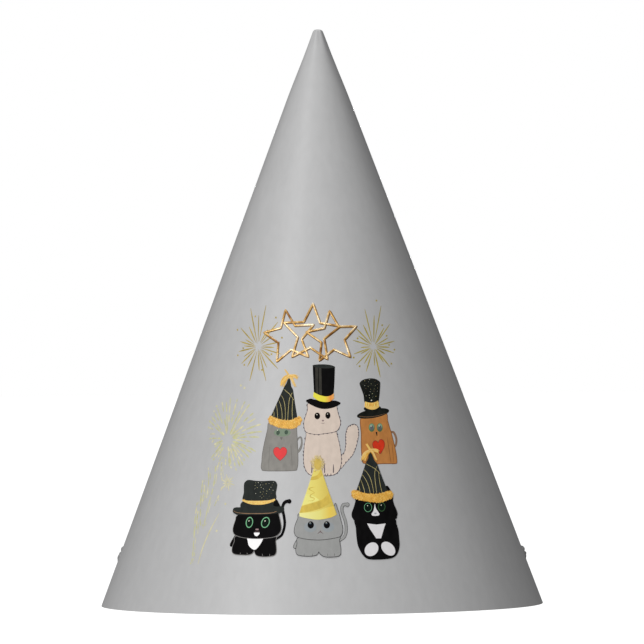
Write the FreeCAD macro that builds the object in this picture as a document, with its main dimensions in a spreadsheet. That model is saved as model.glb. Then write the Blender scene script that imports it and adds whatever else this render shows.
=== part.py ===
"""Paper party hat: one card sheet rolled to a cone, glued along a lap at the back, with a
knotted elastic chin cord.  Millimetres, +Z up, the rim on Z = 0, the cone's axis on Z and the
printed front towards -Y."""

import FreeCAD, Part
import math
import os

import Sketcher
from FreeCAD import Placement, Rotation, Vector

os.makedirs("parts", exist_ok=True)
doc = FreeCAD.newDocument("party_hat")

# ------------------------------------------------------------------ driving dimensions
DIMENSIONS = {
    "base_radius": 71.0,  # outside of the card at the rim
    "apex_height": 189.5,  # where the outside surface would come to a point
    "tip_height": 185.0,  # where the rolled tip really ends, open
    "card_thickness": 0.4,
    "rise_angle": 4.0,  # turn over which the sheet climbs onto its own edge
    "lap_angle": 10.0,  # turn over which the sheet lies on itself
    "glue_angle": 8.0,  # width of the adhesive inside the lap
    "glue_thickness": 0.1,
    "glue_bottom": 5.0,
    "glue_top": 165.0,
    "punch_diameter": 2.0,  # the two cord holes
    "punch_height": 17.0,
    "punch_back_angle": 12.0,  # how far the holes lie behind the widest points
    "cord_diameter": 1.0,
    "knot_seat_radius": 1.2,
    "knot_radius": 1.7,
    "knot_height": 2.0,
}
FRONT_AZIMUTH = -90.0
BACK_AZIMUTH = 90.0

sheet = doc.addObject("Spreadsheet::Sheet", "Dims")
for row, (alias, value) in enumerate(DIMENSIONS.items(), start=1):
    sheet.set(f"A{row}", alias)
    sheet.set(f"B{row}", str(value))
    sheet.setAlias(f"B{row}", alias)
doc.recompute()


def size(alias):
    """A driving dimension, read back from the sheet."""
    return float(getattr(sheet, alias))


# ------------------------------------------------------------------ shared sketch helpers
def plane_of(body, role):
    """One of the body's own origin planes."""
    return next(item for item in body.Origin.OriginFeatures if item.Role == role)


def radial_sketch(body, name, azimuth):
    """A sketch on the half plane through Z at this azimuth: its x is the radius, its y is Z."""
    sketch = body.newObject("Sketcher::SketchObject", name)
    sketch.AttachmentSupport = [(plane_of(body, "XZ_Plane"), "")]
    sketch.MapMode = "FlatFace"
    sketch.AttachmentOffset = Placement(Vector(0, 0, 0), Rotation(Vector(0, 1, 0), 1.0))
    sketch.setExpression(".AttachmentOffset.Rotation.Angle", azimuth)
    return sketch


def bind(sketch, name, constraint, expression):
    """Adds a named dimension to a sketch and ties it to the sheet."""
    index = sketch.addConstraint(constraint)
    sketch.renameConstraint(index, name)
    sketch.setExpression("Constraints." + name, expression)


# Outside radius of the cone at a height, and the factor from a thickness square to the card
# to the same thickness measured level.
RADIUS_AT = "Dims.base_radius * (1 - {height} / Dims.apex_height)"
LEVEL_FACTOR = "sqrt(1 + (Dims.base_radius / Dims.apex_height) ^ 2)"


def wall_section(body, name, azimuth, lift, thickness, bottom, top):
    """The cut through a layer of the cone: a band of this thickness whose inner face stands
    off from the inside of the card by lift, between two level ends."""
    sketch = radial_sketch(body, name, azimuth)
    outer_foot = (60.0, 1.0)
    outer_head = (20.0, 150.0)
    corners = [outer_foot, outer_head, (outer_head[0] - 5, outer_head[1]), (outer_foot[0] - 5, 1.0)]
    for start, end in zip(corners, corners[1:] + corners[:1]):
        sketch.addGeometry(Part.LineSegment(Vector(*start, 0), Vector(*end, 0)), False)
    for line in range(4):
        sketch.addConstraint(Sketcher.Constraint("Coincident", line, 2, (line + 1) % 4, 1))
    sketch.addConstraint(Sketcher.Constraint("Horizontal", 1))
    sketch.addConstraint(Sketcher.Constraint("Horizontal", 3))

    from_outside = f"({lift} + {thickness} - Dims.card_thickness) * {LEVEL_FACTOR}"
    across = f"{thickness} * {LEVEL_FACTOR}"
    places = [
        ("foot_radius", "DistanceX", 0, 1, f"{RADIUS_AT.format(height=bottom)} + {from_outside}"),
        ("foot_height", "DistanceY", 0, 1, bottom),
        ("head_radius", "DistanceX", 1, 1, f"{RADIUS_AT.format(height=top)} + {from_outside}"),
        ("head_height", "DistanceY", 1, 1, top),
    ]
    for label, kind, line, point, expression in places:
        value = corners[line][0 if kind == "DistanceX" else 1]
        bind(sketch, label, Sketcher.Constraint(kind, -1, 1, line, point, value), expression)
    for label, line, first, second in (("head_width", 1, 2, 1), ("foot_width", 3, 1, 2)):
        width = Sketcher.Constraint("DistanceX", line, first, line, second, 5.0)
        bind(sketch, label, width, across)
    return sketch


def turned_band(body, name, sketch, angle):
    """A layer of the cone: the section turned about Z, half the angle to each side."""
    band = body.newObject("PartDesign::Revolution", name)
    band.Profile = sketch
    band.ReferenceAxis = (sketch, ["V_Axis"])
    band.Midplane = True
    band.setExpression("Angle", angle)
    return band


def punch_place(side):
    """Where a cord hole comes out of the card: a frame on the outside surface with its z
    square to the card.  side is -1 for the hat's left in front view, +1 for its right."""
    slope = math.atan2(size("base_radius"), size("apex_height"))
    azimuth = math.radians(size("punch_back_angle"))
    if side < 0:
        azimuth = math.pi - azimuth
    radius = size("base_radius") * (1 - size("punch_height") / size("apex_height"))
    outward = Vector(math.cos(azimuth), math.sin(azimuth), 0)
    point = outward * radius + Vector(0, 0, size("punch_height"))
    normal = outward * math.cos(slope) + Vector(0, 0, math.sin(slope))
    along_rim = Vector(0, 0, 1).cross(outward)
    return Placement(point, Rotation(along_rim, normal.cross(along_rim), normal, "ZXY"))


# ------------------------------------------------------------------ the rolled card
def make_card():
    """One sheet: the wall nearly all the way round, the short climb over its own starting
    edge, the outer flap of the lap, and the two punched holes."""
    body = doc.addObject("PartDesign::Body", "CardCone")
    whole = ("Dims.card_thickness", "0", "Dims.tip_height")
    stand_off = "(Dims.card_thickness + Dims.glue_thickness)"

    wall_cut = wall_section(body, "WallSection", str(FRONT_AZIMUTH), "0", *whole)
    turned_band(body, "Wall", wall_cut, "360 - Dims.rise_angle")

    low = wall_section(
        body, "ClimbStart", f"{BACK_AZIMUTH} - Dims.rise_angle / 2", "0", *whole
    )
    high = wall_section(
        body, "ClimbEnd", f"{BACK_AZIMUTH} + Dims.rise_angle / 2", stand_off, *whole
    )
    climb = body.newObject("PartDesign::AdditiveLoft", "Climb")
    climb.Profile = low
    climb.Sections = [high]
    climb.Ruled = True

    lap_middle = f"{BACK_AZIMUTH} + (Dims.rise_angle + Dims.lap_angle) / 2"
    flap_cut = wall_section(body, "FlapSection", lap_middle, stand_off, *whole)
    turned_band(body, "Flap", flap_cut, "Dims.lap_angle")
    doc.recompute()

    for side, name in ((-1, "LeftHole"), (1, "RightHole")):
        circle = body.newObject("Sketcher::SketchObject", name + "Circle")
        circle.AttachmentSupport = [(plane_of(body, "XY_Plane"), "")]
        circle.MapMode = "FlatFace"
        circle.AttachmentOffset = punch_place(side)
        circle.addGeometry(Part.Circle(Vector(0, 0, 0), Vector(0, 0, 1), 1.5), False)
        circle.addConstraint(Sketcher.Constraint("Coincident", 0, 3, -1, 1))
        bind(circle, "punch", Sketcher.Constraint("Diameter", 0, 3.0), "Dims.punch_diameter")
        before = body.Shape.Volume
        punch = body.newObject("PartDesign::Pocket", name)
        punch.Profile = circle
        punch.SideType = "Symmetric"
        punch.setExpression("Length", "Dims.card_thickness * 6")
        doc.recompute()
        disc = math.pi * (size("punch_diameter") / 2) ** 2 * size("card_thickness")
        print(f"{name}: removed {before - body.Shape.Volume:.3f} mm3, the disc is {disc:.3f}")
    body.Label = "card_cone"
    return body


def make_glue():
    """The thin strip of adhesive between the two layers of the lap."""
    body = doc.addObject("PartDesign::Body", "SeamGlue")
    lap_middle = f"{BACK_AZIMUTH} + (Dims.rise_angle + Dims.lap_angle) / 2"
    section = wall_section(
        body,
        "GlueSection",
        lap_middle,
        "Dims.card_thickness",
        "Dims.glue_thickness",
        "Dims.glue_bottom",
        "Dims.glue_top",
    )
    turned_band(body, "GlueStrip", section, "Dims.glue_angle")
    body.Label = "seam_adhesive"
    return body


# ------------------------------------------------------------------ the elastic cord
def make_knot(side, label):
    """The pulled-up knot that keeps the cord from slipping back through its hole: a bead
    with a flat seat on the card, drawn about its own z, which stands square to the card."""
    body = doc.addObject("PartDesign::Body", label.title().replace("_", ""))
    sketch = body.newObject("Sketcher::SketchObject", label + "_profile")
    sketch.AttachmentSupport = [(plane_of(body, "XZ_Plane"), "")]
    sketch.MapMode = "FlatFace"
    centre = Vector(0, 0, 0)
    seat = Vector(1.2, 0, 0)
    belly = Vector(1.7, 1.0, 0)
    brow = Vector(1.2, 2.0, 0)
    crown = Vector(0, 2.0, 0)
    sketch.addGeometry(Part.LineSegment(centre, seat), False)
    sketch.addGeometry(Part.Arc(seat, belly, brow), False)
    sketch.addGeometry(Part.LineSegment(brow, crown), False)
    sketch.addGeometry(Part.LineSegment(crown, centre), False)
    for join in ((0, 2, 1, 1), (1, 2, 2, 1), (2, 2, 3, 1), (3, 2, 0, 1), (0, 1, -1, 1)):
        sketch.addConstraint(Sketcher.Constraint("Coincident", *join))
    sketch.addConstraint(Sketcher.Constraint("Horizontal", 0))
    sketch.addConstraint(Sketcher.Constraint("Horizontal", 2))
    sketch.addConstraint(Sketcher.Constraint("Vertical", 3))
    sketch.addConstraint(Sketcher.Constraint("Equal", 0, 2))
    swell = "(Dims.knot_radius - Dims.knot_seat_radius)"
    round_side = f"((Dims.knot_height / 2) ^ 2 + {swell} ^ 2) / (2 * {swell})"
    bind(sketch, "seat", Sketcher.Constraint("Distance", 0, 1.2), "Dims.knot_seat_radius")
    bind(sketch, "tall", Sketcher.Constraint("Distance", 3, 2.0), "Dims.knot_height")
    bind(sketch, "side", Sketcher.Constraint("Radius", 1, 1.25), round_side)
    bead = body.newObject("PartDesign::Revolution", label + "_bead")
    bead.Profile = sketch
    bead.ReferenceAxis = (sketch, ["V_Axis"])
    bead.Angle = 360.0
    body.Label = label
    body.Placement = punch_place(side)
    return body


def cord_route():
    """The slack cord from knot to knot: square through the left hole, down inside the card,
    along the resting surface in front of the middle, and up to the right hole."""
    left = punch_place(-1)
    right = punch_place(1)
    lead_left = 6.5
    lead_right = 6.0
    rest = size("cord_diameter") / 2
    return [
        left.Base,
        left.multVec(Vector(0, 0, -lead_left)),
        Vector(-54.8, 4.6, 8.6),
        Vector(-54.6, -5.2, 3.0),
        Vector(-56.2, -16.5, rest),
        Vector(-53.8, -30.0, rest),
        Vector(-45.0, -43.0, rest),
        Vector(-31.0, -53.2, rest),
        Vector(-14.5, -60.0, rest),
        Vector(4.0, -61.0, rest),
        Vector(20.0, -53.8, rest),
        Vector(34.8, -51.0, rest),
        Vector(47.8, -41.6, rest),
        Vector(55.4, -28.8, rest),
        Vector(56.6, -14.2, rest),
        Vector(54.6, -2.6, 2.7),
        Vector(55.0, 6.0, 8.4),
        right.multVec(Vector(0, 0, -lead_right)),
        right.Base,
    ]


ARC_SHARE = 0.45  # of the shorter run, the tangent length of the arc at each point


def rounded_wire(points):
    """Straight runs joined by tangent arcs, each as large as its two runs allow."""
    edges = []
    radii = []
    last = points[0]
    for before, here, after in zip(points, points[1:], points[2:]):
        arriving = (here - before).normalize()
        leaving = (after - here).normalize()
        turn = arriving.getAngle(leaving)
        tangent = ARC_SHARE * min(here.distanceToPoint(before), after.distanceToPoint(here))
        radius = tangent / math.tan(turn / 2)
        start = here - arriving * tangent
        end = here + leaving * tangent
        inwards = (leaving - arriving).normalize()
        middle = here + inwards * (radius / math.cos(turn / 2) - radius)
        edges.append(Part.LineSegment(last, start).toShape())
        edges.append(Part.Arc(start, middle, end).toShape())
        radii.append((math.degrees(turn), radius))
        last = end
    edges.append(Part.LineSegment(last, points[-1]).toShape())
    return Part.Wire(edges), radii


def make_cord():
    """The round elastic cord, swept along its route from seat to seat."""
    wire, radii = rounded_wire(cord_route())
    route = doc.addObject("Part::Feature", "CordRoute")
    route.Shape = wire
    section = doc.addObject("Part::Circle", "CordSection")
    section.setExpression("Radius", "Dims.cord_diameter / 2")
    section.Placement = punch_place(-1)
    cord = doc.addObject("Part::Sweep", "ElasticCord")
    cord.Sections = [section]
    cord.Spine = (route, [f"Edge{n + 1}" for n in range(len(wire.Edges))])
    cord.Solid = True
    cord.Frenet = False
    cord.Transition = "Right corner"
    cord.Label = "elastic_cord"
    doc.recompute()
    for number, (turn, radius) in enumerate(radii, start=1):
        print(f"cord point {number}: turns {turn:.1f} degrees, radius {radius:.2f} mm")
    expected = math.pi * (size("cord_diameter") / 2) ** 2 * wire.Length
    print(f"cord: {wire.Length:.2f} mm long, volume {cord.Shape.Volume:.3f}, expected {expected:.3f}")
    return cord


sub_parts = [
    make_card(),
    make_glue(),
    make_cord(),
    make_knot(-1, "knot_left"),
    make_knot(1, "knot_right"),
]
doc.recompute()

# ------------------------------------------------------------------ checks, then the files
for item in doc.Objects:
    if {"Invalid", "Error"} & set(item.State):
        raise RuntimeError(f"{item.Name} failed: {item.State}")
for item in sub_parts:
    shape = item.Shape
    if shape.isNull() or not shape.isValid() or len(shape.Solids) != 1:
        raise RuntimeError(f"{item.Label} is not one valid solid")
for item in sub_parts:
    box = item.Shape.BoundBox
    print(
        f"{item.Label}: {item.Shape.Volume:.2f} mm3, x {box.XMin:.2f} to {box.XMax:.2f},"
        f" y {box.YMin:.2f} to {box.YMax:.2f}, z {box.ZMin:.3f} to {box.ZMax:.2f}"
    )
    item.Shape.exportStep(os.path.join("parts", item.Label + ".step"))
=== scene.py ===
"""The looks of the paper party hat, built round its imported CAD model.

Metres, in the CAD frame: +Z up, the rim on Z = 0, the cone's axis on Z, the printed front
towards -Y and the glued seam towards +Y.  The motifs of the print are drawn in millimetres."""

import math
import random
from functools import partial

import bmesh
import bpy
from mathutils import Matrix, Vector
from mathutils.geometry import delaunay_2d_cdt


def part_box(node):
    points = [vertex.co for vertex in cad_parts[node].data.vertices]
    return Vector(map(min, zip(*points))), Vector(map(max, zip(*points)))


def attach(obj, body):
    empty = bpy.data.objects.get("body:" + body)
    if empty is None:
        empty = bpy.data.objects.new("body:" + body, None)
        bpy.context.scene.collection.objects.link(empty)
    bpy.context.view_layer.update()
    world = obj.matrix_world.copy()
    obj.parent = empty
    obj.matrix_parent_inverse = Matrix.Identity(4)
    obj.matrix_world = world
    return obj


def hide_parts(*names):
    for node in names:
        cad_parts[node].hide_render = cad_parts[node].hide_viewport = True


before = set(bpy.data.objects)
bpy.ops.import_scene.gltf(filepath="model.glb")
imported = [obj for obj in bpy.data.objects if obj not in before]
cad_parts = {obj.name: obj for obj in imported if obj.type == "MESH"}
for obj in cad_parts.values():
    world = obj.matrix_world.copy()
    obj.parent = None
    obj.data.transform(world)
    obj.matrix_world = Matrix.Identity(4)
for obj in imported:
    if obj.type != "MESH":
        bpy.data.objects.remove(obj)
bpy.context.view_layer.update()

MM = 0.001

# ---- sizes of the hat
RIM_RADIUS = 0.071  # outside of the card at the rim
APEX_HEIGHT = 0.1895  # where the outside would come to a point
TIP_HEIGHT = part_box("card_cone")[1].z
CARD = 0.0004
GLUE = 0.0001
HALF_ANGLE = math.atan2(RIM_RADIUS, APEX_HEIGHT)

FRONT = math.radians(-90)
INNER_EDGE = 92  # azimuths in degrees: the sheet starts here, under the lap
CLIMB_START = 448  # it has come round and begins to climb over its own edge
CLIMB_END = 452
OUTER_EDGE = 462  # the free edge of the outer layer
SEAM = math.radians(95)

PUNCH_RADIUS = 0.001
PUNCH_HEIGHT = 0.017
PUNCH_BACK = math.radians(12)  # the cord holes lie this far behind the widest points
CORD_DIAMETER = 0.001

# ---- camera
CAMERA_PLACE = (0.00064, -1.492, 0.0705)
CAMERA_PITCH = math.radians(0.777)
CAMERA_ROLL = math.radians(-0.44)
CAMERA_LENS = 259.0


def make_camera():
    data = bpy.data.cameras.new("camera")
    data.lens = CAMERA_LENS
    data.sensor_width = 36.0
    data.clip_end = 200.0
    camera = bpy.data.objects.new("camera", data)
    level = Matrix.Rotation(math.radians(90) + CAMERA_PITCH, 4, "X")
    camera.matrix_world = (
        Matrix.Translation(CAMERA_PLACE) @ level @ Matrix.Rotation(CAMERA_ROLL, 4, "Z")
    )
    bpy.context.scene.collection.objects.link(camera)
    bpy.context.scene.camera = camera


make_camera()


# ---- material helpers
def add(tree, kind, **settings):
    """A new shader node with these input values; an underscore stands for a space."""
    node = tree.nodes.new("ShaderNode" + kind)
    for name, value in settings.items():
        node.inputs[name.replace("_", " ")].default_value = value
    return node


def wire(tree, source, target):
    tree.links.new(source, target)


def noise(tree, scale, detail=2.0, stretch=(1.0, 1.0, 1.0)):
    """A noise pattern fixed to the hat, its scale stretched along the axes."""
    place = add(tree, "TexCoord").outputs["Object"]
    mapping = add(tree, "Mapping", Scale=stretch)
    pattern = add(tree, "TexNoise", Scale=scale, Detail=detail)
    wire(tree, place, mapping.inputs["Vector"])
    wire(tree, mapping.outputs["Vector"], pattern.inputs["Vector"])
    return pattern.outputs["Fac"]


def ramp(tree, factor, stops):
    """Colours along a factor: stops are (place, (red, green, blue))."""
    node = add(tree, "ValToRGB")
    elements = node.color_ramp.elements
    while len(elements) < len(stops):
        elements.new(0.5)
    for element, (place, colour) in zip(elements, stops):
        element.position = place
        element.color = (*colour, 1.0)
    wire(tree, factor, node.inputs["Fac"])
    return node.outputs["Color"]


def mottled(tree, factor, colour, amount):
    """One colour, a little darker and paler along a factor."""
    dark, pale = (tuple(min(1, c * k) for c in colour) for k in (1 - amount, 1 + amount))
    return ramp(tree, factor, [(0.3, dark), (0.7, pale)])


def spread(tree, factor, low, high, start=0.3, end=0.7):
    """A factor's middle range, start to end, mapped to low to high."""
    node = add(tree, "MapRange", From_Min=start, From_Max=end, To_Min=low, To_Max=high)
    wire(tree, factor, node.inputs["Value"])
    return node.outputs["Result"]


def finish(tree, shader, colour, roughness, specular, relief, strength, depth=0.00002):
    """Wires up a shader: its colour, its roughness and the relief of its surface."""
    node = add(tree, "Bump", Strength=strength, Distance=depth)
    wire(tree, relief, node.inputs["Height"])
    wire(tree, node.outputs["Normal"], shader.inputs["Normal"])
    wire(tree, colour, shader.inputs["Base Color"])
    wire(tree, roughness, shader.inputs["Roughness"])
    shader.inputs["Specular IOR Level"].default_value = specular


def start_material(name):
    material = bpy.data.materials.new(name)
    material.use_nodes = True
    return material, material.node_tree, material.node_tree.nodes["Principled BSDF"]


def paper(name, colour, mottle=0.05, roughness=(0.5, 0.62), specular=0.25, tooth=0.25):
    """Card or ink on card: fibre mottling, uneven gloss and the fine tooth of the sheet."""
    material, tree, shader = start_material(name)
    fibre = noise(tree, 700, 4.0, (1.0, 1.0, 0.45))
    tone = mottled(tree, fibre, colour, mottle)
    gloss = spread(tree, fibre, *roughness)
    finish(tree, shader, tone, gloss, specular, noise(tree, 2600, 3.0), tooth)
    return material


# ---- inks, each with its slot
INK_SLOT = {}


def ink(slot, name, colour, mottle=0.06, roughness=(0.45, 0.58), specular=0.25):
    """An ink of one slot: its linear colour, how much that varies, and its gloss."""
    material = paper("ink_" + name, colour, mottle, roughness, specular)
    INK_SLOT[material.name] = slot
    return material


black_ink = partial(ink, "black_ink")
colour_ink = partial(ink, "colour_ink")
gold_ink = partial(ink, "gold_ink")


def foil(name, deep, middle, pale, metallic, grain):
    """Gold ink: bands of deep and pale tone with a metal's shine."""
    material, tree, shader = start_material(name)
    tone = noise(tree, grain, 3.0)
    colour = ramp(tree, tone, [(0.34, deep), (0.5, middle), (0.64, pale)])
    gloss = spread(tree, tone, 0.42, 0.28)
    finish(tree, shader, colour, gloss, 0.5, noise(tree, 3000, 2.0), 0.2)
    shader.inputs["Metallic"].default_value = metallic
    INK_SLOT[name] = "gold_ink"
    return material


WHITE = colour_ink("white", (0.87, 0.865, 0.865), 0.02)
# painted shade: the white ink made darker for the cat on the hat's darker right side
WHITE_SHADED = colour_ink("white_soft", (0.69, 0.675, 0.68), 0.03)
BLACK = black_ink("black", (0.0035, 0.0033, 0.0035), 0.3, (0.6, 0.72), 0.03)
CHARCOAL = black_ink("charcoal", (0.02, 0.0235, 0.0215), 0.2, (0.55, 0.68), 0.05)
HAT_SHINE = black_ink("hat_shine", (0.034, 0.032, 0.026), 0.25, (0.5, 0.6), 0.1)
STONE_GREY = colour_ink("stone_grey", (0.217, 0.207, 0.188), 0.12)
STONE_LINE = colour_ink("stone_line", (0.13, 0.122, 0.11), 0.15)
CREAM = colour_ink("cream", (0.605, 0.505, 0.43), 0.05)
CREAM_LINE = black_ink("cream_line", (0.07, 0.055, 0.07), 0.3)
GINGER = colour_ink("ginger", (0.44, 0.18, 0.046), 0.12)
GINGER_LINE = colour_ink("ginger_line", (0.17, 0.065, 0.02), 0.2)
GINGER_DULL = colour_ink("ginger_dull", (0.25, 0.145, 0.085), 0.1)
SMOKE = colour_ink("smoke", (0.285, 0.287, 0.28), 0.05)
SMOKE_PALE = colour_ink("smoke_pale", (0.34, 0.36, 0.375), 0.05)
SMOKE_LINE = black_ink("smoke_line", (0.055, 0.054, 0.054), 0.2)
EDGE_GREY = colour_ink("edge_grey", (0.2, 0.19, 0.18), 0.2)
RED = colour_ink("red", (0.67, 0.034, 0.037), 0.08)
RED_ORANGE = colour_ink("red_orange", (0.56, 0.03, 0.006), 0.18)
EYE_GREEN = colour_ink("eye_green", (0.15, 0.42, 0.21), 0.15)
EYE_SAGE = colour_ink("eye_sage", (0.2, 0.31, 0.2), 0.15)
EYE_DARK = black_ink("eye_dark", (0.003, 0.008, 0.005), 0.3, (0.55, 0.65), 0.04)
EYE_DEEP = black_ink("eye_deep", (0.055, 0.085, 0.06), 0.2, (0.5, 0.6), 0.1)
EYE_SLATE_DEEP = black_ink("eye_slate_deep", (0.02, 0.036, 0.055), 0.2, (0.5, 0.6), 0.05)
EYE_LEAF = colour_ink("eye_leaf", (0.055, 0.15, 0.05), 0.2)
EYE_SLATE = colour_ink("eye_slate", (0.1, 0.11, 0.115), 0.15)
HALO = colour_ink("halo", (0.268, 0.292, 0.305), 0.04)
GREEN_HAZE = colour_ink("green_haze", (0.17, 0.225, 0.155), 0.04)
EYE_BROWN = black_ink("eye_brown", (0.04, 0.026, 0.012), 0.2, (0.55, 0.65), 0.05)
NOSE_PINK = colour_ink("nose_pink", (0.36, 0.235, 0.24), 0.1)
NOSE_GREY = colour_ink("nose_grey", (0.24, 0.17, 0.165), 0.1)
MOUTH = colour_ink("mouth", (0.13, 0.085, 0.085), 0.2)
RED_EDGE = colour_ink("red_edge", (0.22, 0.03, 0.02), 0.2)
HAT_DARK = black_ink("hat_dark", (0.009, 0.0105, 0.0085), 0.4, (0.55, 0.68), 0.05)
GLINT = colour_ink("glint", (0.74, 0.72, 0.6), 0.05)
BAND_GOLD = gold_ink("band_gold", (0.68, 0.37, 0.06), 0.14)
BAND_PALE = gold_ink("band_pale", (0.76, 0.49, 0.13), 0.12)
BAND_DEEP = gold_ink("band_deep", (0.56, 0.26, 0.035), 0.14)
TASSEL_PALE = gold_ink("tassel_pale", (0.72, 0.49, 0.18), 0.1)
LEMON_PALE = gold_ink("lemon_pale", (0.76, 0.71, 0.21), 0.05)
LEMON_DEEP = gold_ink("lemon_deep", (0.58, 0.42, 0.065), 0.14)
STRIPE = gold_ink("stripe", (0.6, 0.5, 0.2), 0.25)
SPARK_GOLD = gold_ink("spark_gold", (0.38, 0.28, 0.06), 0.2)
SPARK_DEEP = gold_ink("spark_deep", (0.35, 0.28, 0.05), 0.2)
SPARK_PALE = gold_ink("spark_pale", (0.5, 0.49, 0.27), 0.12)
SPARK_WARM = gold_ink("spark_warm", (0.59, 0.55, 0.33), 0.12)
TUFT = gold_ink("tuft", (0.56, 0.4, 0.085), 0.12)
TUFT_PALE = gold_ink("tuft_pale", (0.62, 0.5, 0.25), 0.08)
BRIM_GOLD = gold_ink("brim_gold", (0.25, 0.14, 0.07), 0.3)
GOLD = foil("ink_gold_foil", (0.26, 0.1, 0.015), (0.66, 0.4, 0.12), (1.0, 0.8, 0.5), 0.35, 300)
# painted shadow: a dark gold line set down and to the right under each raised star line
GOLD_PAINTED_SHADOW = gold_ink("gold_shade", (0.13, 0.055, 0.012), 0.2)


def fading_ink(name, start, end, stops):
    """Gold ink whose tone changes from the left, at start, to the right, at end."""
    material, tree, shader = start_material(name)
    parts = add(tree, "SeparateXYZ")
    wire(tree, add(tree, "TexCoord").outputs["Object"], parts.inputs["Vector"])
    along = spread(tree, parts.outputs["X"], 0.0, 1.0, start, end)
    gloss = spread(tree, noise(tree, 700, 3.0), 0.45, 0.58)
    tooth = noise(tree, 2600, 3.0)
    finish(tree, shader, ramp(tree, along, stops), gloss, 0.25, tooth, 0.25)
    INK_SLOT[name] = "gold_ink"
    return material


BAND_FADE = fading_ink("ink_band_fade", -0.0024, 0.0044, [
    (0, (0.72, 0.66, 0.05)), (0.55, (0.74, 0.64, 0.05)), (0.7, (0.76, 0.43, 0.06)),
    (0.82, (0.76, 0.25, 0.04)), (1, (0.7, 0.42, 0.15)),
])
YELLOW_HAT = (-0.0069, 0.005)  # the left and right ends of the foot of the yellow cone hat
LEMON_FADE = fading_ink("ink_lemon_fade", *YELLOW_HAT, [
    (0, (0.76, 0.69, 0.19)), (0.45, (0.71, 0.6, 0.14)), (0.75, (0.62, 0.48, 0.09)),
    (1, (0.52, 0.39, 0.06)),
])
LEMON_PALE_FADE = fading_ink("ink_lemon_pale_fade", *YELLOW_HAT, [
    (0, (0.78, 0.74, 0.3)), (0.55, (0.72, 0.66, 0.19)), (0.8, (0.72, 0.52, 0.08)),
    (1, (0.66, 0.5, 0.12)),
])


# ---- the card's surface
def ease(share):
    """0 below 0, 1 above 1 and a smooth rise between."""
    share = min(1.0, max(0.0, share))
    return share * share * (3 - 2 * share)


WAVE = 0.00006
FLAT_BY_SEAM = math.radians(15)  # glued flat this far to each side of the seam
WAVY_FROM = math.radians(40)  # and free to wave this far from it
TIP_CREASE = 0.00006
TIP_FOLDS = 7
CREASED_FROM, CREASED_TO = 0.168, 0.182  # heights between which the creases of rolling grow
TIP_PINCH = 0.00033  # rolled a little tighter than a cone in the last two centimetres
PINCHED_FROM, PINCHED_TO = 0.162, 0.179


def wave(azimuth, height):
    """Small soft departures from a true cone; no waves at the seam, where the layers are glued."""
    from_seam = abs(math.remainder(azimuth - SEAM, 2 * math.pi))
    free = ease((from_seam - FLAT_BY_SEAM) / (WAVY_FROM - FLAT_BY_SEAM))
    broad = math.sin(3 * azimuth + 0.6) + 0.6 * math.sin(5 * azimuth - 1.1 + 25 * height)
    near_tip = ease((height - CREASED_FROM) / (CREASED_TO - CREASED_FROM))
    creased = near_tip * math.cos(TIP_FOLDS * azimuth + 0.4)
    pinched = TIP_PINCH * ease((height - PINCHED_FROM) / (PINCHED_TO - PINCHED_FROM))
    return free * (WAVE * broad * (1 - height / APEX_HEIGHT) + TIP_CREASE * creased) - pinched


CURL_RADIUS = 0.00125  # the tip's edge is turned in over the opening
CURL_TURN = math.radians(72)
CURL_RISE = CURL_RADIUS * (math.sin(HALF_ANGLE + CURL_TURN) - math.sin(HALF_ANGLE))
TIP_RUN = (TIP_HEIGHT - CURL_RISE) / math.cos(HALF_ANGLE)


def sheet_point(azimuth, run, lift):
    """A point of the sheet: run up it from the rim, and lift out from its outside."""
    straight = min(run, TIP_RUN)
    lean = HALF_ANGLE + (run - straight) / CURL_RADIUS
    height = straight * math.cos(HALF_ANGLE)
    radius = RIM_RADIUS - straight * math.sin(HALF_ANGLE) + wave(azimuth, height)
    level = radius - CURL_RADIUS * math.cos(HALF_ANGLE) + (CURL_RADIUS + lift) * math.cos(lean)
    up = height - CURL_RADIUS * math.sin(HALF_ANGLE) + (CURL_RADIUS + lift) * math.sin(lean)
    return Vector((level * math.cos(azimuth), level * math.sin(azimuth), up))


def card_materials():
    """Silver-grey print outside, bare white board inside, and cut edges painted mid grey as shade."""
    material, tree, shader = start_material("card_print")
    fibre = noise(tree, 420, 4.0, (1.0, 1.0, 0.4))
    grey = mottled(tree, fibre, (0.45, 0.45, 0.452), 0.025)
    gloss = spread(tree, noise(tree, 90, 2.0), 0.4, 0.48)
    finish(tree, shader, grey, gloss, 0.5, noise(tree, 2400, 3.0), 0.2)
    inside = paper("card_inside", (0.76, 0.755, 0.74), 0.04, (0.7, 0.85), 0.2, 0.5)
    # painted shade: the cut edges are a mid grey, far darker than the white board they are cut from
    cut = paper("card_cut_edge", (0.42, 0.418, 0.41), 0.12, (0.75, 0.9), 0.15, 0.9)
    return [material, inside, cut]


PRINTED, BARE, CUT = 0, 1, 2
CHAMFER = 0.00006
SLOPE_ROWS = 76  # rows of faces from the rim to the curl at the tip
CURL_ROWS = 10  # and round the curl


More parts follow.
